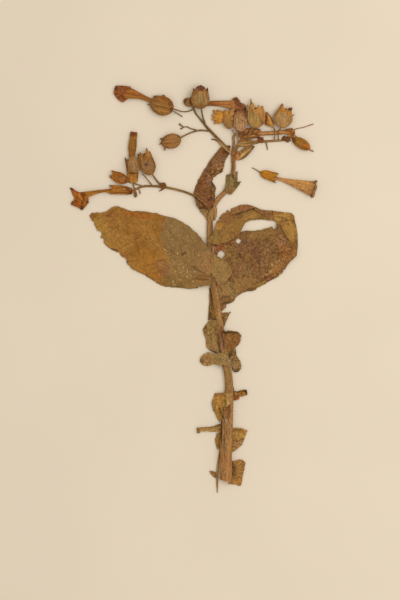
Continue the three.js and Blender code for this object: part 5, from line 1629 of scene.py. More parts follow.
@dataclass
class Fruit:
    """A capsule in its calyx."""

    name: str
    spine: Points
    width: float
    height: float
    reach: float
    teeth: tuple[float, ...]
    calyx_finish: PodFinish
    capsule_finish: PodFinish
    mouth: float = 0.8
    tips: tuple[Points, ...] = ()
    seed: int = 0

    def build(self) -> None:
        """Makes the calyx and the capsule in it."""
        cup = Pod(
            self.spine, self.width, self.height, cup_outline(self.mouth), teeth=self.teeth, rings=90, seed=self.seed
        )
        calyx = cup.model(f"{self.name}_cup")
        limbs = [
            Stalk(tip, sides=12, pitch=0.4, ridge=0.2, seed=i).model(f"{self.name}_tip_{i}")
            for i, tip in enumerate(self.tips)
        ]
        Bench.union(calyx, limbs)
        Bench.finish(calyx, self.calyx_finish.material(f"{self.name}_cup"), Slot.CALYX, f"{self.name}_calyx")
        foot = CAPSULE_OUTLINE[0][0]
        stretch = (self.reach - foot) / (1 - foot)
        outline = [[foot + (share - foot) * stretch, radius] for share, radius in CAPSULE_OUTLINE]
        gap = 0.6
        pod = Pod(
            self.spine, self.width - gap, self.height - gap, outline, sides=40, rings=44, nerves=4,
            nerve_depth=0.05, crumple=0.2, seed=self.seed + 2,
        )
        capsule = pod.model(f"{self.name}_pod")
        Bench.finish(capsule, self.capsule_finish.material(f"{self.name}_pod"), Slot.CAPSULE, f"{self.name}_capsule")


FRUITS = (
    Fruit(
        "top_fruit", ((5.8, 136.6, 5.2), (5.2, 144, 5.6), (5.4, 151.8, 5.6)), 14, 5.8, 1.2,
        (0.1, 0.16, 0.04, 0.12, 0.14),
        PodFinish.of(
            (162, 120, 70), (166, 108, 58), Tint(5.6, 144.6, 5, 5.4, 0, (174, 138, 88)),
            Tint(5.6, 138, 6, 2, 0, (134, 90, 50), 0.7), Tint(-0.6, 143, 1.2, 6, 0, (140, 98, 50), 0.5),
            Tint(5.4, 151, 6, 0.8, 0, (150, 80, 50), 0.6), cells=1.2,
        ),
        PodFinish.of((136, 86, 62), (112, 70, 54)),
        seed=1,
    ),
    Fruit(
        "right_fruit", ((67.2, 122.4, 3.7), (68.6, 130, 3.2), (71, 137.6, 3.2)), 14.8, 6.2, 0.82,
        (0.14, 0.04, 0.06, 0.24, 0.06),
        PodFinish.of(
            (184, 138, 84), (190, 122, 44), Tint(68, 128.6, 6, 5.6, 0, (188, 146, 94), 0.7),
            Tint(73.8, 136.6, 2, 2, 0, (74, 46, 34), 0.95), Tint(74, 128, 2, 5, 0, (166, 120, 72), 0.6),
            Tint(69.4, 136.4, 2.4, 2, 0, (206, 138, 50), 0.8), ribs=0.4, cells=1.2,
        ),
        PodFinish.of((120, 78, 46), (84, 52, 32)),
        mouth=0.56,
        tips=(
            ((73, 134.4, 3, 2.6), (74.4, 136.4, 2.4, 2.6), (75.6, 138, 0.8, 2.6)),
            ((75.4, 131.4, 1.2, 2), (76.6, 132.2, 0.8, 2), (77.6, 132.6, 0.3, 2)),
            ((67, 134.4, 3, 2.6), (67.6, 137.6, 2, 2.6), (68.6, 140.4, 0.6, 2.6)),
        ),
        seed=5,
    ),
    Fruit(
        "middle_fruit", ((46.4, 122.3, 3.4), (48, 130.6, 3.2), (47, 138, 3.2)), 14, 6.2, 1,
        (0.08, 0.1, 0.04, 0.1, 0.06),
        PodFinish.of(
            (184, 138, 78), (198, 142, 74), Tint(52.4, 131, 2, 7, 10, (202, 130, 74)),
            Tint(45.6, 130, 4, 5, 0, (176, 142, 84), 0.6), Tint(49.4, 128.4, 0.6, 5, -20, (178, 168, 78), 0.8),
            Tint(52.8, 125.6, 1.4, 4, 20, (150, 84, 40), 0.8), Tint(43, 137.6, 2.4, 2, 0, (184, 150, 92), 0.8),
            Tint(50.4, 135.8, 3.4, 1.4, -30, (214, 148, 76), 0.7),
            Tint(44, 142.6, 1.6, 2.6, 0, (150, 116, 66), 0.8), ribs=0.5, cells=1.2,
        ),
        PodFinish.of((150, 104, 60), (132, 86, 46)),
        mouth=0.84,
        tips=(
            ((45.2, 136, 5, 2.4), (44.8, 139.6, 3.8, 2.6), (44, 142, 1.6, 2.6), (43.8, 144.8, 0.7, 2.6)),
            ((48.8, 136.4, 2.4, 2.6), (49.8, 138.4, 1.4, 2.6), (50, 140, 0.5, 2.6)),
            ((51.6, 135.4, 2.4, 2.6), (52.8, 137.6, 1.4, 2.6), (53.2, 139.2, 0.5, 2.6)),
            ((42.4, 135.4, 3, 2.4), (41.6, 138.4, 2, 2.4), (40.8, 140, 0.6, 2.4)),
        ),
        seed=9,
    ),
    Fruit(
        "pale_fruit", ((35.6, 118.4, 2.8), (35.8, 127, 3), (36, 135.8, 2.8)), 10.6, 5.6, 1.06,
        (0.06, 0.12, 0.02, 0.1, 0.04),
        PodFinish.of(
            (190, 142, 94), (170, 114, 70), Tint(36.4, 122.6, 4.6, 3.6, 0, (194, 148, 106)),
            Tint(35, 119.2, 4, 1.2, 0, (106, 64, 36), 0.8), Tint(39, 133, 1.4, 4, 20, (88, 44, 26), 0.9),
            Tint(41.2, 130.4, 0.8, 1.6, 0, (70, 34, 22), 0.9), Tint(37.6, 127.4, 3.4, 0.5, -35, (120, 76, 46), 0.8),
            cells=1.6, net=0.9, ribs=0.7, mottle=4.0,
        ),
        PodFinish.of((166, 112, 74), (150, 92, 58), cells=0.9),
        seed=13,
    ),
    Fruit(
        "brown_fruit", ((28.2, 121.5, 2.2), (26.6, 128, 2.4), (26.8, 134.2, 2.2)), 8, 4.4, 1,
        (0.06, 0.1, 0.02, 0.12, 0.06),
        PodFinish.of(
            (176, 128, 68), (202, 146, 74), Tint(27, 124, 3.6, 2.4, 0, (160, 120, 78), 0.8),
            Tint(24.6, 132, 1.4, 2, 0, (210, 150, 70), 0.8), Tint(30, 131, 1.4, 3, 0, (200, 148, 84), 0.7), cells=1.1,
        ),
        PodFinish.of((160, 110, 60), (146, 92, 48)),
        tips=(
            ((25, 131, 4.4, 1.6), (25, 134.4, 4, 1.6), (24.4, 136.4, 1.4, 1.6)),
            ((29, 131, 4, 1.6), (29.4, 134.6, 4, 1.6), (30.8, 137, 1.4, 1.6)),
        ),
        seed=17,
    ),
    Fruit(
        "left_fruit", ((-31.9, 86.6, 2.6), (-35.2, 94, 2.6), (-38, 103.6, 2.4)), 12, 5, 0.86,
        (0.22, 0.06, 0.04, 0.1, 0.14),
        PodFinish.of(
            (160, 112, 60), (180, 122, 58), Tint(-35, 93, 4.6, 4.4, 60, (152, 112, 76), 0.95, 0.3),
            Tint(-36, 94, 1.5, 1.4, 0, (86, 58, 50), 0.9), Tint(-30.6, 96, 1, 6, 15, (120, 76, 38), 0.7), Tint(-31, 88, 3, 2, 0, (150, 108, 60)),
            Tint(-38.6, 102, 2, 3, 0, (128, 92, 44), 0.6),
        ),
        PodFinish.of((120, 84, 58), (110, 74, 50)),
        seed=21,
    ),
    Fruit(
        "small_fruit", ((-49.8, 81.5, 1.8), (-57, 84.4, 1.8), (-62.4, 87, 1.6)), 8.2, 3.4, 0.72,
        (0.2, 0.22, 0.04, 0.16, 0.2),
        PodFinish.of(
            (168, 98, 34), (178, 116, 44), Tint(-54.2, 83.2, 3.9, 3.1, 20, (98, 60, 30), 0.9, 0.2),
            Tint(-54.2, 83.2, 3.1, 2.4, 20, (160, 116, 68), 0.95, 0.2),
            Tint(-51, 81.6, 1.4, 2.4, 60, (100, 58, 26), 0.8), Tint(-60, 87.6, 2.6, 1.4, 25, (182, 104, 36), 0.7),
        ),
        PodFinish.of((130, 84, 40), (110, 68, 34)),
        mouth=0.66,
        seed=25,
    ),
)


@dataclass
class Bud:
    """A closed calyx, of a bud or round a fruit that fills it."""

    node: str
    spine: Points
    width: float
    height: float
    finish: PodFinish
    stalk: Points = ()
    tips: tuple[Points, ...] = ()
    seed: int = 0

    def build(self) -> None:
        """Makes the bud, with its stalk and the tips of its calyx."""
        bud = Pod(self.spine, self.width, self.height, BUD_OUTLINE, seed=self.seed).model(f"dry_{self.node}")
        limbs = [line for line in (self.stalk, *self.tips) if line]
        stalks = [
            Stalk(line, sides=12, pitch=0.45, ridge=0.15, seed=i).model(f"{self.node}_limb_{i}")
            for i, line in enumerate(limbs)
        ]
        Bench.union(bud, stalks)
        Bench.finish(bud, self.finish.material(f"{self.node}_finish"), Slot.CALYX, self.node)


BUDS = (
    Bud(
        "low_fruit", ((-9.6, 114.7, 2.9), (-16.6, 112.3, 2.4), (-24.9, 111.2, 2.2)), 11.4, 4.4,
        PodFinish.of(
            (166, 116, 64), (154, 102, 54), Tint(-10.6, 115.6, 2, 1.6, -30, (96, 66, 34), 0.9),
            Tint(-17, 110.6, 7, 0.6, 5, (120, 78, 40), 0.7), Tint(-16, 114.6, 6, 0.5, 8, (188, 140, 84), 0.7),
            Tint(-24, 113.4, 1.8, 1.6, 0, (86, 54, 28), 0.9), Tint(-24.6, 110.6, 1.2, 1.2, 0, (104, 66, 32), 0.9),
            Tint(-16, 113, 5, 3, 0, (164, 114, 68), 0.6),
        ),
        ((-21.4, 108.6, 1.6, 1.6), (-21.9, 106.6, 1.5, 1.2), (-22.1, 105, 0.9, 1)),
        (
            ((-22.6, 113.2, 2.2, 1.4), (-24.6, 114, 1.3, 1.6), (-25.6, 114.2, 0.6, 1.6)),
            ((-23.4, 110.6, 2, 1.2), (-25.2, 110.2, 1.2, 1.4), (-26, 109.6, 0.6, 1.4)),
        ),
        seed=3,
    ),
    Bud(
        "round_fruit", ((-43, 88.2, 4), (-45.4, 93.8, 4.7), (-46.4, 100.8, 4.7)), 9.6, 3.8,
        PodFinish.of(
            (168, 124, 76), (160, 120, 74), Tint(-42, 96.4, 1, 6, 10, (112, 74, 40), 0.8),
            Tint(-45.6, 93, 2.4, 3.4, 15, (176, 136, 92), 0.6), ribs=0.4, cells=1.2,
        ),
        seed=6,
    ),
    Bud(
        "tip_bud", ((-1.3, 139.2, 1.6), (-4.2, 142, 1.8), (-7.4, 144, 1.6)), 6.2, 3,
        PodFinish.of(
            (152, 108, 62), (116, 74, 38), Tint(-6.6, 142.4, 1.6, 1.6, 0, (84, 50, 26)),
            Tint(-3.4, 142.6, 1.6, 0.6, 40, (190, 140, 86), 0.8), Tint(-2, 141, 3, 0.5, -50, (84, 52, 28), 0.8), mottle=3.5,
        ),
        tips=(
            ((-3, 144, 1.6, 0.8), (-1.8, 145.8, 1, 0.8), (-1.2, 146.8, 0.5, 0.8)),
            ((-4.6, 141, 1.6, 0.6), (-4, 139.6, 0.9, 0.5), (-3, 138.6, 0.5, 0.4)),
        ),
        seed=7,
    ),
    Bud(
        "orange_calyx", ((23.8, 130.2, 1.8), (20, 130.8, 1.8), (16, 131.2, 1.8)), 10.4, 3.6,
        PodFinish.of(
            (214, 146, 64), (210, 150, 80), Tint(23, 128, 2, 3, 0, (176, 120, 60)), Tint(20, 132, 3, 3, 0, (222, 150, 58)),
            Tint(18, 127.6, 2, 1.4, 0, (196, 122, 48), 0.8), ribs=0.4, cells=1.2,
        ),
        tips=(
            ((17, 133.6, 3, 0.6), (16, 135.2, 2, 0.6), (15.4, 136.6, 0.6, 0.6)),
            ((16.8, 131.6, 3, 0.8), (15, 132, 2, 0.8), (14, 132.6, 0.6, 0.8)),
            ((16.8, 129.6, 3, 0.8), (15, 129, 2, 0.8), (13.8, 128.6, 0.6, 0.8)),
            ((18, 127.6, 3, 0.6), (16.8, 126.4, 2, 0.6), (15.8, 125.2, 0.7, 0.6)),
            ((20, 134.6, 2.4, 0.6), (18.8, 136, 1.6, 0.6), (18.2, 137, 0.5, 0.6)),
        ),
        seed=10,
    ),
    Bud(
        "fallen_bud", ((89, 106.2, 2), (82.6, 110.4, 2), (75.6, 114.2, 1.6)), 7.8, 3.8,
        PodFinish.of(
            (166, 110, 44), (154, 112, 46), Tint(87, 108.2, 3, 2.4, 0, (190, 106, 38), 0.8),
            Tint(84, 107.6, 7, 0.5, -32, (116, 72, 28), 0.8), Tint(83, 112, 6, 0.5, -28, (120, 80, 32), 0.7),
            Tint(80, 110.6, 5, 0.4, -35, (196, 146, 66), 0.7),
            Tint(76.4, 113, 2.4, 2.2, 0, (92, 44, 20), 0.95), Tint(80.4, 113.6, 3, 1.6, -20, (140, 106, 40), 0.8),
        ),
        ((88, 107, 1, 1.4), (90.2, 105.2, 1, 0.4), (92, 104.6, 1.2, 0)),
        (
            ((77.6, 113, 2.4, 0.6), (76, 114.6, 1.8, 0.6), (75.2, 115.6, 1, 0.6)),
            ((79, 114.6, 2, 1), (78.2, 116, 1.1, 1), (77.8, 116.8, 0.6, 1)),
        ),
        seed=14,
    ),
    Bud(
        "far_flower_calyx", ((-15.4, 136.2, 3.4), (-24, 139.4, 3), (-33.2, 142.4, 2.4)), 14.8, 5.6,
        PodFinish.of(
            (164, 112, 56), (144, 98, 56), Tint(-22, 144.4, 6, 2.4, -40, (160, 96, 38)),
            Tint(-17.6, 140.6, 2, 2.4, 30, (106, 64, 34), 0.8), Tint(-26, 136, 5, 2, -10, (178, 128, 66)),
            Tint(-16.8, 136.2, 1.6, 2, 0, (80, 48, 26), 0.9), Tint(-24, 138, 8, 0.5, -16, (112, 72, 36), 0.8),
            Tint(-24, 141.4, 8, 0.5, -18, (116, 74, 36), 0.7), Tint(-27, 139.6, 5, 0.4, -16, (196, 144, 84), 0.8), ribs=0.75,
        ),
        tips=(
            ((-24.4, 145.4, 3, 1.6), (-27.8, 146.4, 1.8, 1.6), (-31, 146.6, 0.6, 1.6)),
            ((-22, 145.6, 2.6, 1.4), (-22.8, 147.2, 1.4, 1.2), (-23.6, 147.8, 0.5, 1.2)),
            ((-30, 139.4, 2, 1), (-33.2, 139.8, 1.3, 1), (-35.4, 140.8, 0.5, 1)),
        ),
        seed=18,
    ),
)

FOLDED_BRACT = Leaf(
    "folded_bract",
    Blade(
        (
            ((61, 122.8, 0.2), (54.9, 124.8, 0)), ((61.4, 126, 0.2), (55.2, 129, 0)), ((59.4, 131, 0), (55.4, 132.4, 0)),
            ((56.4, 134.6, 0), (55.3, 134.6, 0)),
        ),
        cell=0.35, wrinkle=0.4, wrinkle_size=3.4, fray=0.3, vein_pitch=3, thickness=0.9, lift=1.2,
        creases=(Crease(55.4, 134, 60.4, 124.4, 0.6, 0.8, 0.4), Crease(54.6, 126, 55.4, 133, 0.4, 0.7, -0.7)),
        seed=29,
    ),
    LeafFinish.of(
        (180, 128, 58), Tint(55.4, 129, 1.2, 6, 0, (148, 70, 32)), Tint(60.4, 128, 1, 6, 22, (134, 92, 44)),
        Tint(58, 123.8, 4, 1.2, 0, (168, 112, 50)), Tint(58.4, 128, 1, 4, 20, (206, 156, 86), 0.7), mottle=3.2,
    ),
    Slot.CALYX,
)


@dataclass
class Flower:
    """A pressed flower: a long tube that widens to a mouth, with crumpled petals, in its calyx."""

    name: str
    tube: Points
    widths: tuple[float, ...]
    height: float
    tube_finish: PodFinish
    lobes: float = 0.1
    petals: tuple[Blade, ...] = ()
    rolls: tuple[Points, ...] = ()  # the rolled edges of petals, and threads
    cup: Points = ()
    cup_size: tuple[float, float] = (8, 3)
    cup_teeth: tuple[float, ...] = (0.12, 0.16, 0.1, 0.14, 0.18)
    cup_mouth: float = 0.8
    cup_foot: float = 0.3
    cup_finish: Optional[PodFinish] = None
    stalk: Points = ()
    seed: int = 0

    def outline(self) -> Points:
        """The outline of the tube, out to its mouth and a little way back inside."""
        mouth = max(self.widths)
        last = len(self.widths) - 1
        rim = self.widths[last] / mouth
        sides = [[i / last, width / mouth] for i, width in enumerate(self.widths)]
        return [[0, 0], *sides, [0.99, rim * 0.9], [0.95, rim * 0.6], [0.86, 0]]

    def build(self) -> None:
        """Makes the corolla, and the calyx unless it is a bud of its own."""
        tube = Pod(
            self.tube, max(self.widths), self.height, self.outline(), sides=48, rings=100, nerves=10, nerve_depth=0.07,
            crumple=0.3, crumple_size=4, teeth=(self.lobes,) * 5, mouth_from=0.86, gap=self.lobes / 3, sharpness=0.7,
            seed=self.seed,
        )
        shells = [tube.model(f"{self.name}_tube")]
        shells += [petal.model(f"{self.name}_petal_{i}") for i, petal in enumerate(self.petals)]
        for i, line in enumerate(self.rolls):
            roll = Stalk(line, flatness=0.7, sides=14, pitch=0.4, ridge=0.35, seed=self.seed + i)
            shells.append(roll.model(f"{self.name}_roll_{i}"))
        corolla = Bench.join(shells)
        Bench.finish(corolla, self.tube_finish.material(f"{self.name}_tube"), Slot.COROLLA, f"{self.name}_corolla")
        if self.cup_finish:
            self.build_cup(self.cup_finish)

    def build_cup(self, finish: PodFinish) -> None:
        """Makes the calyx and its stalk."""
        width, height = self.cup_size
        cup = Pod(
            self.cup, width, height, cup_outline(self.cup_mouth, 0.08, self.cup_foot), teeth=self.cup_teeth, rings=80, crumple=0.3, gap=0.05,
            nerve_depth=0.05, seed=self.seed + 4,
        )
        calyx = cup.model(f"{self.name}_cup")
        if self.stalk:
            Bench.union(calyx, [Stalk(self.stalk, seed=self.seed).model(f"{self.name}_stalk")])
        Bench.finish(calyx, finish.material(f"{self.name}_cup"), Slot.CALYX, f"{self.name}_calyx")


def petal(ribs: tuple, seed: int, *creases: Crease, **shape: Any) -> Blade:
    """A crumpled petal, coloured as what lies past the mouth of its tube."""
    crumpled = {"cell": 0.35, "thickness": 0.4, "wrinkle": 0.6, "wrinkle_size": 2.6, "crinkle": 0.25, "fray": 0.35}
    return Blade(ribs, **{**crumpled, "vein_pitch": 6, "shares": (1.0, 1.3), "creases": creases, "seed": seed, **shape})


def corolla(tube: Colour, flare: Colour, limb: Colour, *tints: Tint, **more: Any) -> PodFinish:
    """The finish of a corolla, from its tube over its flare to its petals."""
    stops = ((0.3, tube), (0.6, flare), (0.88, flare), (1.0, limb))
    return PodFinish(**{"stops": stops, "rib": toned(flare, 0.64), "tints": tints, "ribs": 0.6, **more})


FLOWERS = (
    Flower(
        "far_flower", ((-32, 143, 2.2), (-42, 147, 2.2), (-52, 149.6, 2)), (3, 3.6, 5, 7.4, 8.4), 3.6,
        corolla(
            (150, 100, 46), (176, 108, 50), (166, 96, 52), Tint(-38, 147, 5, 1.2, -20, (156, 80, 36), 0.8),
            Tint(-47, 148, 7, 0.5, -14, (120, 62, 28), 0.8), Tint(-44, 149.4, 6, 0.5, -18, (192, 122, 54), 0.7),
            Tint(-46, 144.6, 6, 1.4, -15, (158, 120, 54), 0.7), Tint(-60, 153, 2.4, 2, 0, (92, 52, 28), 0.9),
            Tint(-54, 151.6, 6, 1.4, 8, (120, 66, 34), 0.6),
        ),
        petals=(
            petal(
                (
                    ((-48.6, 145.6, 1.6), (-48, 154, 1.6)), ((-54.4, 142.2, 0.8), (-55, 154.8, 1)),
                    ((-58.6, 145, 0.4), (-59.6, 154.4, 0.4)), ((-61, 149), (-60.4, 152)),
                ),
                3,
                Crease(-50, 151, -60.6, 148, 0.7, 0.6, -0.9), Crease(-50, 152.6, -60.6, 152, 0.7, 0.6, -0.8),
                Crease(-50, 149, -58, 145.6, 0.6, 0.6, -0.7), Crease(-49, 147, -54.6, 143.4, 0.5, 0.7, -0.5),
            ),
            petal((((-52, 148.4, 2.4), (-51, 154.4, 2.2)), ((-58, 149, 1.4), (-59.8, 154.6, 1.2))), 5),
        ),
        seed=1,
    ),
    Flower(
        "upright_flower", ((-47, 96, 1.3), (-46.8, 106, 1.4), (-45.6, 118.4, 1.4)), (3.4, 4.2, 5.2, 6.2, 5.6, 4.9), 2.6,
        corolla(
            (152, 98, 40), (164, 112, 50), (122, 62, 32), Tint(-46.4, 104.6, 1.2, 8, 0, (150, 96, 36), 0.7),
            Tint(-46, 117.4, 3, 1.8, 0, (110, 50, 28), 0.85), Tint(-44.4, 109, 0.8, 8, 3, (128, 82, 34), 0.7),
        ),
        lobes=0.05,
        cup=((-46, 80.4, 1.1), (-46.8, 90, 1.2), (-48, 99, 1.2)), cup_size=(8.8, 2.4),
        cup_teeth=(0.02, 0.1, 0.02, 0.16, 0.06), cup_mouth=1.0, cup_foot=0.7,
        cup_finish=PodFinish.of(
            (186, 126, 56), (172, 122, 60), Tint(-46.4, 87.8, 5, 0.9, 0, (104, 60, 28), 0.9),
            Tint(-51, 92, 1, 7, 0, (132, 92, 46), 0.8), Tint(-42.6, 84, 0.7, 4, 8, (112, 66, 30), 0.8),
            Tint(-49.4, 83, 0.6, 4, -8, (120, 72, 32), 0.8), Tint(-46, 84, 2, 2, 0, (200, 142, 62), 0.7),
        ),
        seed=5,
    ),
    Flower(
        "star_flower", ((-61, 75, 1.4), (-72, 73.8, 1.5), (-83, 71, 1.6)), (1.8, 1.9, 2.4, 3.4, 5), 2.8,
        corolla(
            (162, 100, 40), (182, 122, 50), (176, 98, 40), Tint(-93.6, 76.6, 2.4, 1, -40, (70, 36, 20), 0.9),
            Tint(-93.4, 64.8, 2, 1.4, 0, (98, 54, 34), 0.9), Tint(-85.6, 60.4, 2.2, 1.2, 20, (84, 44, 26), 0.9),
            Tint(-80.4, 65.2, 1.8, 2, 0, (70, 34, 20), 0.9), Tint(-87.4, 71, 2, 1.2, -60, (212, 134, 56), 0.9),
            Tint(-86, 68.4, 1.6, 1, 30, (206, 128, 50), 0.9), Tint(-91, 73.4, 2.4, 1.6, 0, (176, 92, 46), 0.8),
            Tint(-83.6, 72, 1.6, 0.8, -30, (92, 46, 24), 0.8), Tint(-85, 65.6, 1, 1.6, 20, (92, 40, 22), 0.8),
            Tint(-89.4, 68.6, 1, 1.2, 0, (98, 44, 24), 0.8), Tint(-88, 64.4, 2.6, 0.8, 20, (186, 106, 48), 0.8),
            Tint(-76, 73.6, 6, 0.5, 10, (116, 66, 28), 0.7), Tint(-75, 75.2, 6, 0.5, 8, (196, 136, 62), 0.7),
            mottle=3.5,
        ),
        petals=(
            petal(
                (
                    ((-94.2, 77), (-93.4, 76.6)), ((-92.6, 71.4), (-87.4, 73.4)), ((-91, 68.8), (-84.4, 73.4)),
                    ((-93.6, 64.2), (-81.6, 71.6)), ((-88.6, 61.6), (-80, 67.6)), ((-85.2, 59.4), (-81.4, 63.6)),
                ),
                8,
                Crease(-84, 70, -93.6, 76.4, 0.7, 0.6, -0.6), Crease(-84, 69, -93, 65, 0.7, 0.6, -0.6),
                Crease(-84, 68, -86, 60.6, 0.7, 0.6, -0.6), Crease(-92.6, 70, -87, 66, 0.6, 0.7, 0.5),
                Crease(-91, 64.6, -83, 60.6, 0.5, 0.6, -0.8), Crease(-88, 72, -84, 66, 0.6, 0.8, 0.5),
                fray=0.6, cell=0.3,
            ),
            petal((((-84, 72.4, 1), (-82.6, 66, 1)), ((-80.4, 70.4, 0.6), (-80.2, 64.6, 0.4))), 12, fray=0.7),
        ),
        rolls=(
            ((-92.4, 65.6, 1.4, 0.4), (-89, 63.2, 1.8, 0.7), (-86, 61, 1.4, 0.3)),
            ((-94.6, 76.8, 0.5, 0.2), (-92, 75, 1.2, 0.6), (-89, 73.6, 1, 0.8)),
        ),
        cup=((-46.6, 73.9, 1.3), (-56, 75, 1.4), (-64.2, 75.2, 1.4)), cup_size=(6.8, 2.8),
        cup_teeth=(0.02, 0.1, 0.02, 0.06, 0.3), cup_mouth=1.0, cup_foot=0.6,
        cup_finish=PodFinish(
            stops=((0.08, (92, 46, 22)), (0.36, (184, 124, 56)), (0.9, (186, 122, 46))), rib=(128, 80, 32), ribs=0.8,
            tints=(
                Tint(-49.6, 75.4, 2, 1.6, 0, (116, 58, 30), 0.8), Tint(-48, 76, 1, 1.2, 0, (180, 118, 96), 0.8),
                Tint(-55, 73, 7, 0.5, 2, (116, 66, 26), 0.9), Tint(-56, 76.4, 6, 0.4, 6, (124, 78, 32), 0.8),
                Tint(-57, 75, 4, 0.5, 5, (206, 144, 66), 0.8), Tint(-60, 72, 3, 0.5, 0, (150, 92, 36), 0.8),
            ),
        ),
        stalk=((-49, 74.4, 2.4, 0.6), (-46, 73.6, 1.8, 0.5), (-43.8, 74.8, 1, 0.8)),
        seed=9,
    ),
    Flower(
        "hidden_flower", ((8, 141.2, 1.1), (20, 141, 1.5), (33, 139.8, 1.8)), (3, 3.4, 4, 4.8, 6, 8.4), 3.2,
        corolla(
            (156, 92, 40), (192, 130, 76), (160, 104, 68), Tint(16, 142.8, 8, 0.5, 2, (126, 66, 30), 0.8),
            Tint(33, 142.6, 2.2, 2.6, 0, (104, 54, 32), 0.85), Tint(27, 138.4, 6, 0.7, -14, (204, 142, 72), 0.8),
            Tint(31.6, 144.4, 2, 1, 0, (84, 42, 26), 0.8), Tint(35.6, 139.4, 1.4, 2, 0, (146, 66, 40), 0.8),
            Tint(24, 143.2, 5, 0.6, 5, (150, 124, 70), 0.7), Tint(23, 140.2, 8, 0.4, -4, (128, 76, 40), 0.7),
            Tint(39.6, 137, 1, 1.2, 0, (72, 34, 22), 0.9), Tint(38.4, 133.6, 2.4, 3, 30, (176, 124, 84), 0.7),
            mottle=3.5, cells=1.0,
        ),
        petals=(
            petal(
                (
                    ((30, 136, 1), (30, 144.6, 1)), ((34.2, 134.4, 0.6), (33.6, 145, 0.6)),
                    ((37.4, 134.4, 0.2), (36.6, 141.4, 0.2)), ((40, 134.4), (39.6, 139.4)),
                ),
                15,
                Crease(30, 141, 39, 138, 0.5, 0.5, -0.5), Crease(31, 143.4, 36, 141, 0.5, 0.5, -0.6),
                Crease(31, 138, 38, 136.8, 0.5, 0.5, -0.4), Crease(32, 139.6, 37, 137, 0.4, 0.5, 0.5), fray=0.9,
            ),
        ),
        rolls=(
            ((30.6, 144.6, 1.2, 1), (33, 145.2, 1.8, 1), (34.4, 142.6, 1.6, 1.2), (34, 140, 1, 1.4)),
            ((37.4, 141.2, 1.2, 0.6), (39.4, 139, 1.4, 0.6), (39.6, 136.6, 1, 0.4)),
        ),
        cup=((0, 139.5, 1.1), (5, 141, 1.1), (11, 141.4, 1.1)), cup_size=(5.4, 2),
        cup_finish=PodFinish.of((146, 96, 46), (134, 80, 36)),
        seed=13,
    ),
    Flower(
        "lying_flower", ((48.6, 118, 1.5), (62, 118.6, 1.4), (74, 119.8, 1.5)), (2.9, 3, 3, 3, 3.4, 4.6), 2.4,
        corolla(
            (206, 146, 84), (202, 138, 72), (156, 96, 46), Tint(50, 118, 1.4, 1.8, 0, (140, 60, 28), 0.8),
            Tint(62, 117.4, 14, 0.4, 3, (130, 70, 36), 0.8), Tint(62, 120, 12, 0.35, 3, (140, 66, 30), 0.8),
            Tint(60, 118.7, 12, 0.4, 3, (214, 160, 100), 0.7), Tint(64, 119.6, 1.6, 1, 0, (170, 132, 84), 0.6),
            Tint(71.6, 120.6, 2.4, 1, 10, (120, 50, 22), 0.8), Tint(75.4, 119.4, 1.4, 2, 0, (144, 72, 30), 0.7),
        ),
        petals=(
            petal(
                (
                    ((72.4, 115.4, 0.4), (71.8, 118.6, 0.6), (73.4, 122.2, 0.4)), ((75, 115.2), (75.4, 118.4, 0.2), (76, 121.8)),
                    ((77, 117.8), (77.3, 119.4), (77, 121)),
                ),
                19, Crease(73, 117, 76.4, 120.6, 0.6, 0.6, 0.5), fray=0.5,
            ),
        ),
        rolls=(
            ((72.8, 115.6, 1.2, 0.4), (75.2, 115.4, 1.4, 0.4), (77, 117.6, 1.3, 0.4), (77, 120.8, 1.1, 0.4)),
            ((76.4, 120.4, 0.8, 0.3), (78, 121.6, 0.6, 0), (84, 123, 0.6, 0), (92, 125.6, 0.6, 0)),
        ),
        cup=((34.2, 116.4, 1.4), (42, 118.2, 1.6), (50.2, 118.2, 1.6)), cup_size=(8.4, 3),
        cup_finish=PodFinish.of(
            (150, 98, 52), (158, 100, 50), Tint(37, 118.6, 3, 2.4, 0, (112, 66, 40), 0.8), Tint(43, 120, 2.4, 1, 20, (92, 46, 26), 0.8),
            Tint(40, 117.4, 5, 0.5, 30, (76, 38, 22), 0.9), Tint(46, 118.6, 4, 0.5, -30, (80, 40, 22), 0.9),
            Tint(44, 116, 3, 0.6, 10, (204, 152, 98), 0.8), Tint(47.4, 119.6, 2, 0.6, 30, (196, 140, 84), 0.8),
            Tint(40.6, 120.2, 1.6, 0.5, 30, (186, 130, 80), 0.8), Tint(48.6, 117.4, 1, 1.2, 0, (110, 48, 26), 0.8),
            ribs=0.8, mottle=3.5,
        ),
        seed=17,
    ),
    Flower(
        "fallen_flower", ((59.4, 85.3, 1.6), (74, 81, 1.8), (91.4, 75.8, 2)), (2, 2.2, 3.4, 5.8, 8.6, 11.2), 3.8,
        corolla(
            (206, 146, 84), (210, 152, 86), (152, 104, 66), Tint(64.6, 84.6, 4, 1.2, -15, (182, 104, 54), 0.7),
            Tint(74, 82.8, 9, 0.4, -18, (150, 96, 46), 0.8), Tint(76, 79, 9, 0.4, -12, (156, 98, 48), 0.7),
            Tint(80, 80.4, 8, 0.5, -16, (222, 164, 98), 0.8),
            Tint(84, 79.4, 6, 1.4, -16, (196, 134, 66), 0.6), Tint(86, 74, 6, 1, -25, (176, 124, 70), 0.6),
            Tint(92.8, 76.6, 1.8, 6.4, 8, (120, 70, 44), 0.9), Tint(91.2, 71, 2.2, 2, 0, (104, 60, 38), 0.9),
            Tint(94, 82, 1.4, 1.2, 0, (96, 56, 36), 0.9), Tint(90.8, 78, 1.6, 4, 8, (176, 122, 74), 0.6),
            ribs=0.5,
        ),
        lobes=0.02,
        petals=(
            petal(
                (
                    ((90, 70.2, 0.4), (88.6, 76, 1.4), (91.6, 81.6, 0.4)), ((92, 70.8, 0.2), (91.4, 76.4, 1), (93.6, 82, 0.2)),
                    ((93, 74.4), (93.2, 77), (94, 79.6)),
                ),
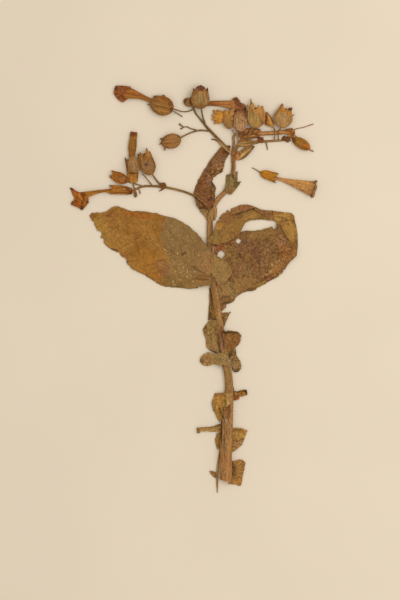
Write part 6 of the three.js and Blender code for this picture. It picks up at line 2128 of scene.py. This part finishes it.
                23, Crease(90.4, 72, 92, 80, 0.7, 0.7, -0.5), cell=0.3,
            ),
        ),
        rolls=(
            ((90.4, 69, 1.8, 0.2), (91.4, 71, 2.6, 0.4), (92, 74, 2.4, 0.8), (93.4, 77, 2.4, 1), (92.8, 80, 2.2, 0.6), (94.6, 82.2, 1.4, 0.2)),
            ((89.4, 71.4, 1.2, 0.6), (91, 73.6, 1.4, 1.4), (91.2, 76.6, 1.3, 1.8), (92, 80.4, 1.4, 1)),
        ),
        cup=((51, 88.2, 1.6), (57, 86.2, 1.6), (62.6, 84.4, 1.6)), cup_size=(6.8, 3.2),
        cup_teeth=(0.2, 0.26, 0.12, 0.26, 0.2), cup_mouth=1.12,
        cup_finish=PodFinish.of(
            (188, 122, 36), (196, 132, 46), Tint(56, 87.4, 4, 1.2, -16, (196, 130, 42), 0.7), Tint(50.4, 88.8, 1.4, 1.6, 0, (104, 74, 36), 0.9), Tint(47, 90.8, 4, 1.4, -27, (110, 82, 48), 0.95),
            Tint(60, 82.4, 3, 0.8, -20, (150, 98, 34), 0.7),
        ),
        stalk=((44.6, 92.2, 0.7, 0), (48, 90.4, 0.7, 0.4), (52, 87.8, 1.1, 1)),
        seed=21,
    ),
)


# ---- The shoot ---------------------------------------------------------------------------------


def find_origin(tip_x: float = -79.0, splinter_y: float = -157.0) -> Array:
    """Where the model's origin lies on the flattened shoot.

    Args:
        tip_x: The left leaf's furthest point.
        splinter_y: The splinter's lowest point.

    Returns:
        The place in millimetres.
    """
    leaf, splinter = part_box("left_leaf"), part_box("stem_splinter")
    return np.array([tip_x - leaf[0][0] / MM, splinter_y - splinter[0][1] / MM, 0.0])


def main() -> None:
    """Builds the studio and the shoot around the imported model."""
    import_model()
    Bench.origin = find_origin()
    Studio().build()
    MainStem().build()
    for part in (*BOUGHS, *LEAVES, *SCRAPS, *FRUITS, *BUDS, FOLDED_BRACT, *FLOWERS):
        part.build()
    bpy.data.orphans_purge()
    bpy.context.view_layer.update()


if __name__ == "__main__":
    main()
